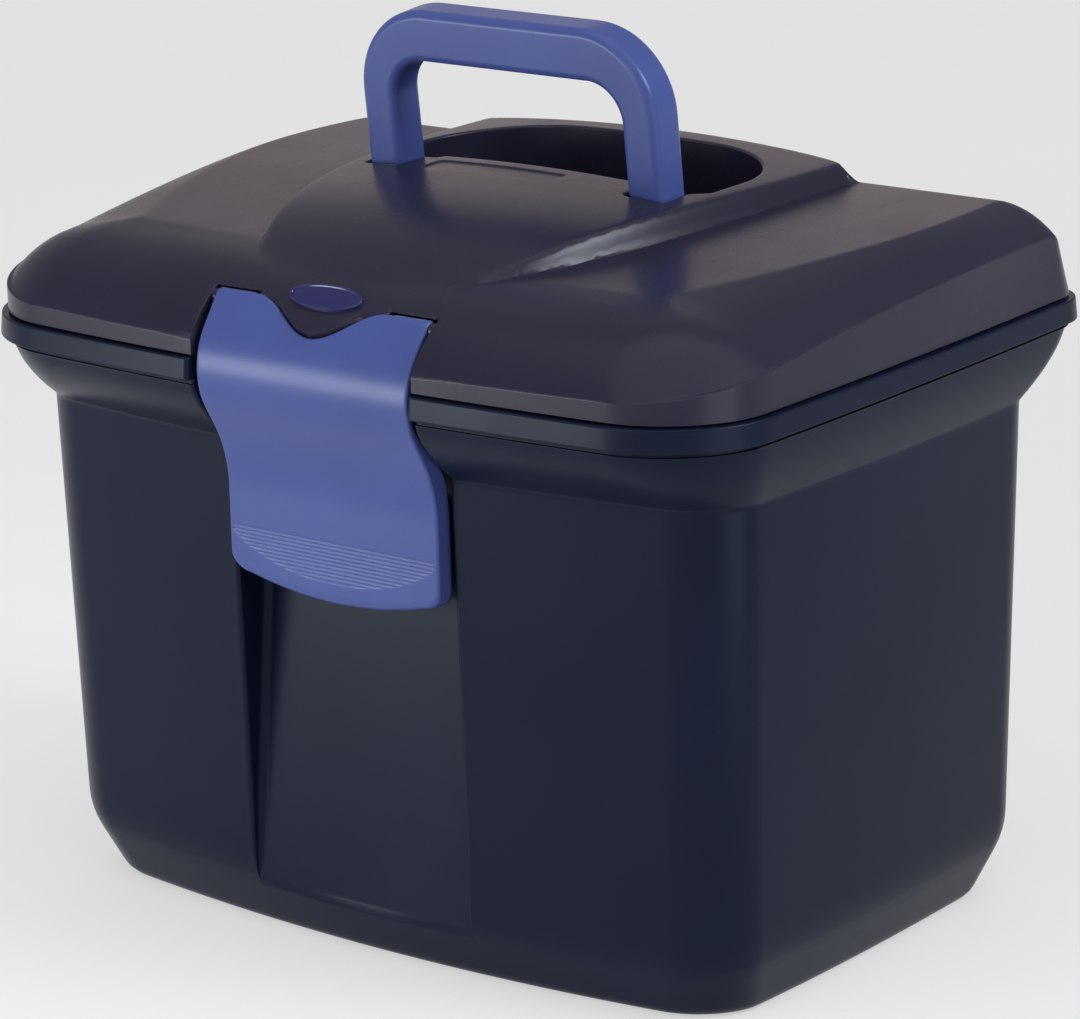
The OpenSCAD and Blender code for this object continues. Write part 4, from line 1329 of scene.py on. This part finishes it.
def moulded(name, colour, scuff, rough, specular, tint, grain=0.45, relief=0.12, wear=0.7):
    """Moulded plastic: a fine grain, slow changes of tone, pale rubbed edges and a few dull marks."""
    mat = Material(name)
    slow = mat.fit(mat.noise(TONE_SIZE, 4), *SPREAD, 0, 1)
    tone = mat.blend(slow, shade(colour, 0.9), shade(colour, 1.12))
    speck = mat.fit(mat.noise(grain * SPECK_SIZE, 2), 0.35, 0.65, 0, 0.22)
    toned = mat.blend(speck, tone, shade(colour, 1.4))
    edge = mat.node("ShaderNodeNewGeometry").outputs["Pointiness"]
    worn = mat.fit(mat.noise(RUB_SIZE, 5), 0.42, 0.62, 0.15, 1)
    rub = mat.combine("MULTIPLY", mat.fit(edge, 0.53, 0.6, 0, wear), worn)
    mat.drive("Base Color", mat.blend(rub, toned, (*scuff, 1)))
    marks = mat.fit(mat.noise(MARK_SIZE, 6, mat.stretched(MARK_STRETCH, MARK_TURN)), 0.6, 0.74, 0, 0.06)
    dull = mat.fit(mat.noise(DULL_SIZE, 4), *SPREAD, rough - DULL_RANGE, rough + DULL_RANGE)
    mat.drive("Roughness", mat.combine("ADD", dull, marks))
    mat.bump(relief, grain * GRAIN_DEEP, mat.noise(grain, 2))
    mat.shader.inputs["Specular IOR Level"].default_value = specular
    mat.shader.inputs["Specular Tint"].default_value = (*tint, 1)
    return mat.data


def drawn_steel():
    """Bright drawn steel, with fine lines along the pin."""
    mat = Material("pin_steel")
    lines = mat.noise(LINE_SIZE, 3, mat.stretched(LINE_STRETCH))
    bright = mat.fit(lines, *SPREAD, 0, 1)
    mat.drive("Base Color", mat.blend(bright, (0.5, 0.5, 0.52, 1), (0.68, 0.68, 0.7, 1)))
    mat.drive("Roughness", mat.fit(mat.noise(SHEEN_SIZE, 4), *SPREAD, 0.24, 0.4))
    mat.bump(0.15, 0.05, lines)
    mat.shader.inputs["Metallic"].default_value = 1
    return mat.data


COOL = (0.82, 0.92, 1)
WARM = (1, 0.95, 0.97)
BODY = moulded("body_plastic", (0.006, 0.0085, 0.024), (0.04, 0.05, 0.085), 0.3, 0.13, COOL)
LID = moulded("lid_plastic", (0.016, 0.0145, 0.032), (0.05, 0.055, 0.09), 0.28, 0.26, WARM)
ACCENT = moulded("accent_plastic", (0.056, 0.08, 0.262), (0.18, 0.22, 0.42), 0.3, 0.3, COOL, 0.35, 0.05)
BADGE = moulded("badge_plastic", (0.014, 0.012, 0.085), (0.05, 0.05, 0.16), 0.2, 0.5, COOL, 0.3, 0.03)
TRAY = moulded("tray_plastic", (0.035, 0.042, 0.068), (0.1, 0.11, 0.15), 0.42, 0.3, COOL, wear=0)
STEEL = drawn_steel()


# Stage

def floor_plane():
    """A wide pale floor that looks almost white and keeps the shadow."""
    bm = bmesh.new()
    bmesh.ops.create_grid(bm, x_segments=2, y_segments=2, size=FLOOR_HALF)
    mesh = bpy.data.meshes.new("floor")
    bm.to_mesh(mesh)
    bm.free()
    obj = add_object("floor", mesh)
    obj.location.z = -FLOOR_DROP
    mat = Material("floor")
    tone = mat.noise(FLOOR_TONE_SIZE, 2)
    mat.drive("Base Color", mat.blend(tone, (0.8, 0.8, 0.805, 1), (0.84, 0.84, 0.84, 1)))
    mat.drive("Roughness", mat.fit(mat.noise(FLOOR_DULL_SIZE, 3), *SPREAD, 0.85, 0.95))
    path = mat.node("ShaderNodeLightPath").outputs
    seen = mat.combine("MAXIMUM", path["Is Camera Ray"], path["Is Glossy Ray"])
    seen = mat.combine("MAXIMUM", seen, path["Is Transmission Ray"])
    share = mat.combine("MULTIPLY", seen, FLOOR_WHITE)
    glow = mat.node("ShaderNodeEmission", {"Color": (1, 1, 1, 1), "Strength": 1}).outputs[0]
    both = mat.node("ShaderNodeMixShader", {0: share, 1: mat.shader.outputs[0], 2: glow})
    mat.tree.links.new(both.outputs[0], mat.tree.nodes["Material Output"].inputs["Surface"])
    mesh.materials.append(mat.data)


def place_camera():
    """A camera at the place and angle that the fit found."""
    right = Vector((math.cos(CAMERA_AZIMUTH), math.sin(CAMERA_AZIMUTH), 0))
    level = math.cos(CAMERA_ELEVATION)
    back = Vector((right.y * level, -right.x * level, math.sin(CAMERA_ELEVATION)))
    up = back.cross(right)
    place = CAMERA_TARGET + right * CAMERA_ASIDE + up * CAMERA_ABOVE + back * CAMERA_DISTANCE
    c, s = math.cos(CAMERA_ROLL), math.sin(CAMERA_ROLL)
    columns = (c * right - s * up, s * right + c * up, back, place)
    data = bpy.data.cameras.new("camera")
    data.lens = CAMERA_LENS
    data.sensor_width = CAMERA_SENSOR
    data.sensor_fit = "HORIZONTAL"
    camera = add_object("camera", data)
    camera.matrix_world = Matrix([[col[i] for col in columns] for i in range(3)] + [[0, 0, 0, 1]])
    bpy.context.scene.camera = camera


def area_light(name, place, target, size, power, colour=(1, 1, 1), spread=180):
    """A soft box in metres that faces its target, out of the camera's sight."""
    data = bpy.data.lights.new(name, "AREA")
    data.shape = "RECTANGLE"
    data.size, data.size_y = size
    data.spread = math.radians(spread)
    data.energy = power
    data.color = colour
    lamp = add_object(name, data)
    lamp.location = place
    lamp.rotation_euler = (Vector(target) - Vector(place)).to_track_quat("-Z", "Y").to_euler()
    lamp.visible_camera = False


def sun_light(name, azimuth, elevation, spread, power, colour=(1, 1, 1)):
    """A soft light from far away, with its azimuth counted from the front towards +X."""
    data = bpy.data.lights.new(name, "SUN")
    data.energy = power
    data.angle = math.radians(spread)
    data.color = colour
    lamp = add_object(name, data)
    a, e = math.radians(azimuth), math.radians(elevation)
    towards = Vector((math.sin(a) * math.cos(e), -math.cos(a) * math.cos(e), math.sin(e)))
    lamp.rotation_euler = towards.to_track_quat("Z", "Y").to_euler()
    lamp.location = towards


def pale_world():
    """An even grey light from all round."""
    world = bpy.data.worlds.new("world")
    bpy.context.scene.world = world
    world.use_nodes = True
    world.node_tree.nodes["Background"].inputs["Color"].default_value = WORLD_GREY


# Everything in its place

place_camera()
bpy.context.scene.view_settings.view_transform = "Standard"
pale_world()
floor_plane()
sun_light("top", 40, 78, 80, 1.0)
sun_light("back", -141, 14, 26, 0.05, (1, 0.76, 0.7))
area_light("key", (-0.84, -1.36, 0.24), (0, -0.1, 0.2), (0.8, 0.46), 10.5)
area_light("ahead", (0, -1.6, 0.62), (0, 0, 0.3), (0.5, 0.4), 3)
area_light("side", (1.11, 0.22, 1.05), (0.08, -0.05, 0.3), (0.62, 0.44), 0.8, (0.84, 0.93, 1), 40)
area_light("corner", (0.62, -0.17, 0.2), (0.18, -0.1, 0.16), (0.26, 0.4), 0.5, (0.86, 0.94, 1))

piece("tub_body", tub_body, "tub", BODY, ["tub"])
piece("tub_hinge_knuckles", tub_knuckles, "tub", BODY)
piece("lid_shell", lid_shell, "lid", LID, ["lid"], WALL, lid_share)
piece("lid_latch_bosses", latch_bosses, "lid", LID)
piece("lid_handle_bosses", handle_bosses, "lid", LID)
piece("lid_hinge_knuckles", lid_knuckles, "lid", LID)
piece("latch_plate", latch_plate, "latch", ACCENT, ["latch"])
piece("handle_bail", handle_bail, "handle", ACCENT, ["handle"])
piece("badge_oval", badge_oval, "lid", BADGE, ["badge"])
piece("tray_body", tray_body, "tray", TRAY, ["tray"])
for name, node in frame["nodes"].items():
    if "_pin_" in name:
        node.data.materials.clear()
        node.data.materials.append(STEEL)
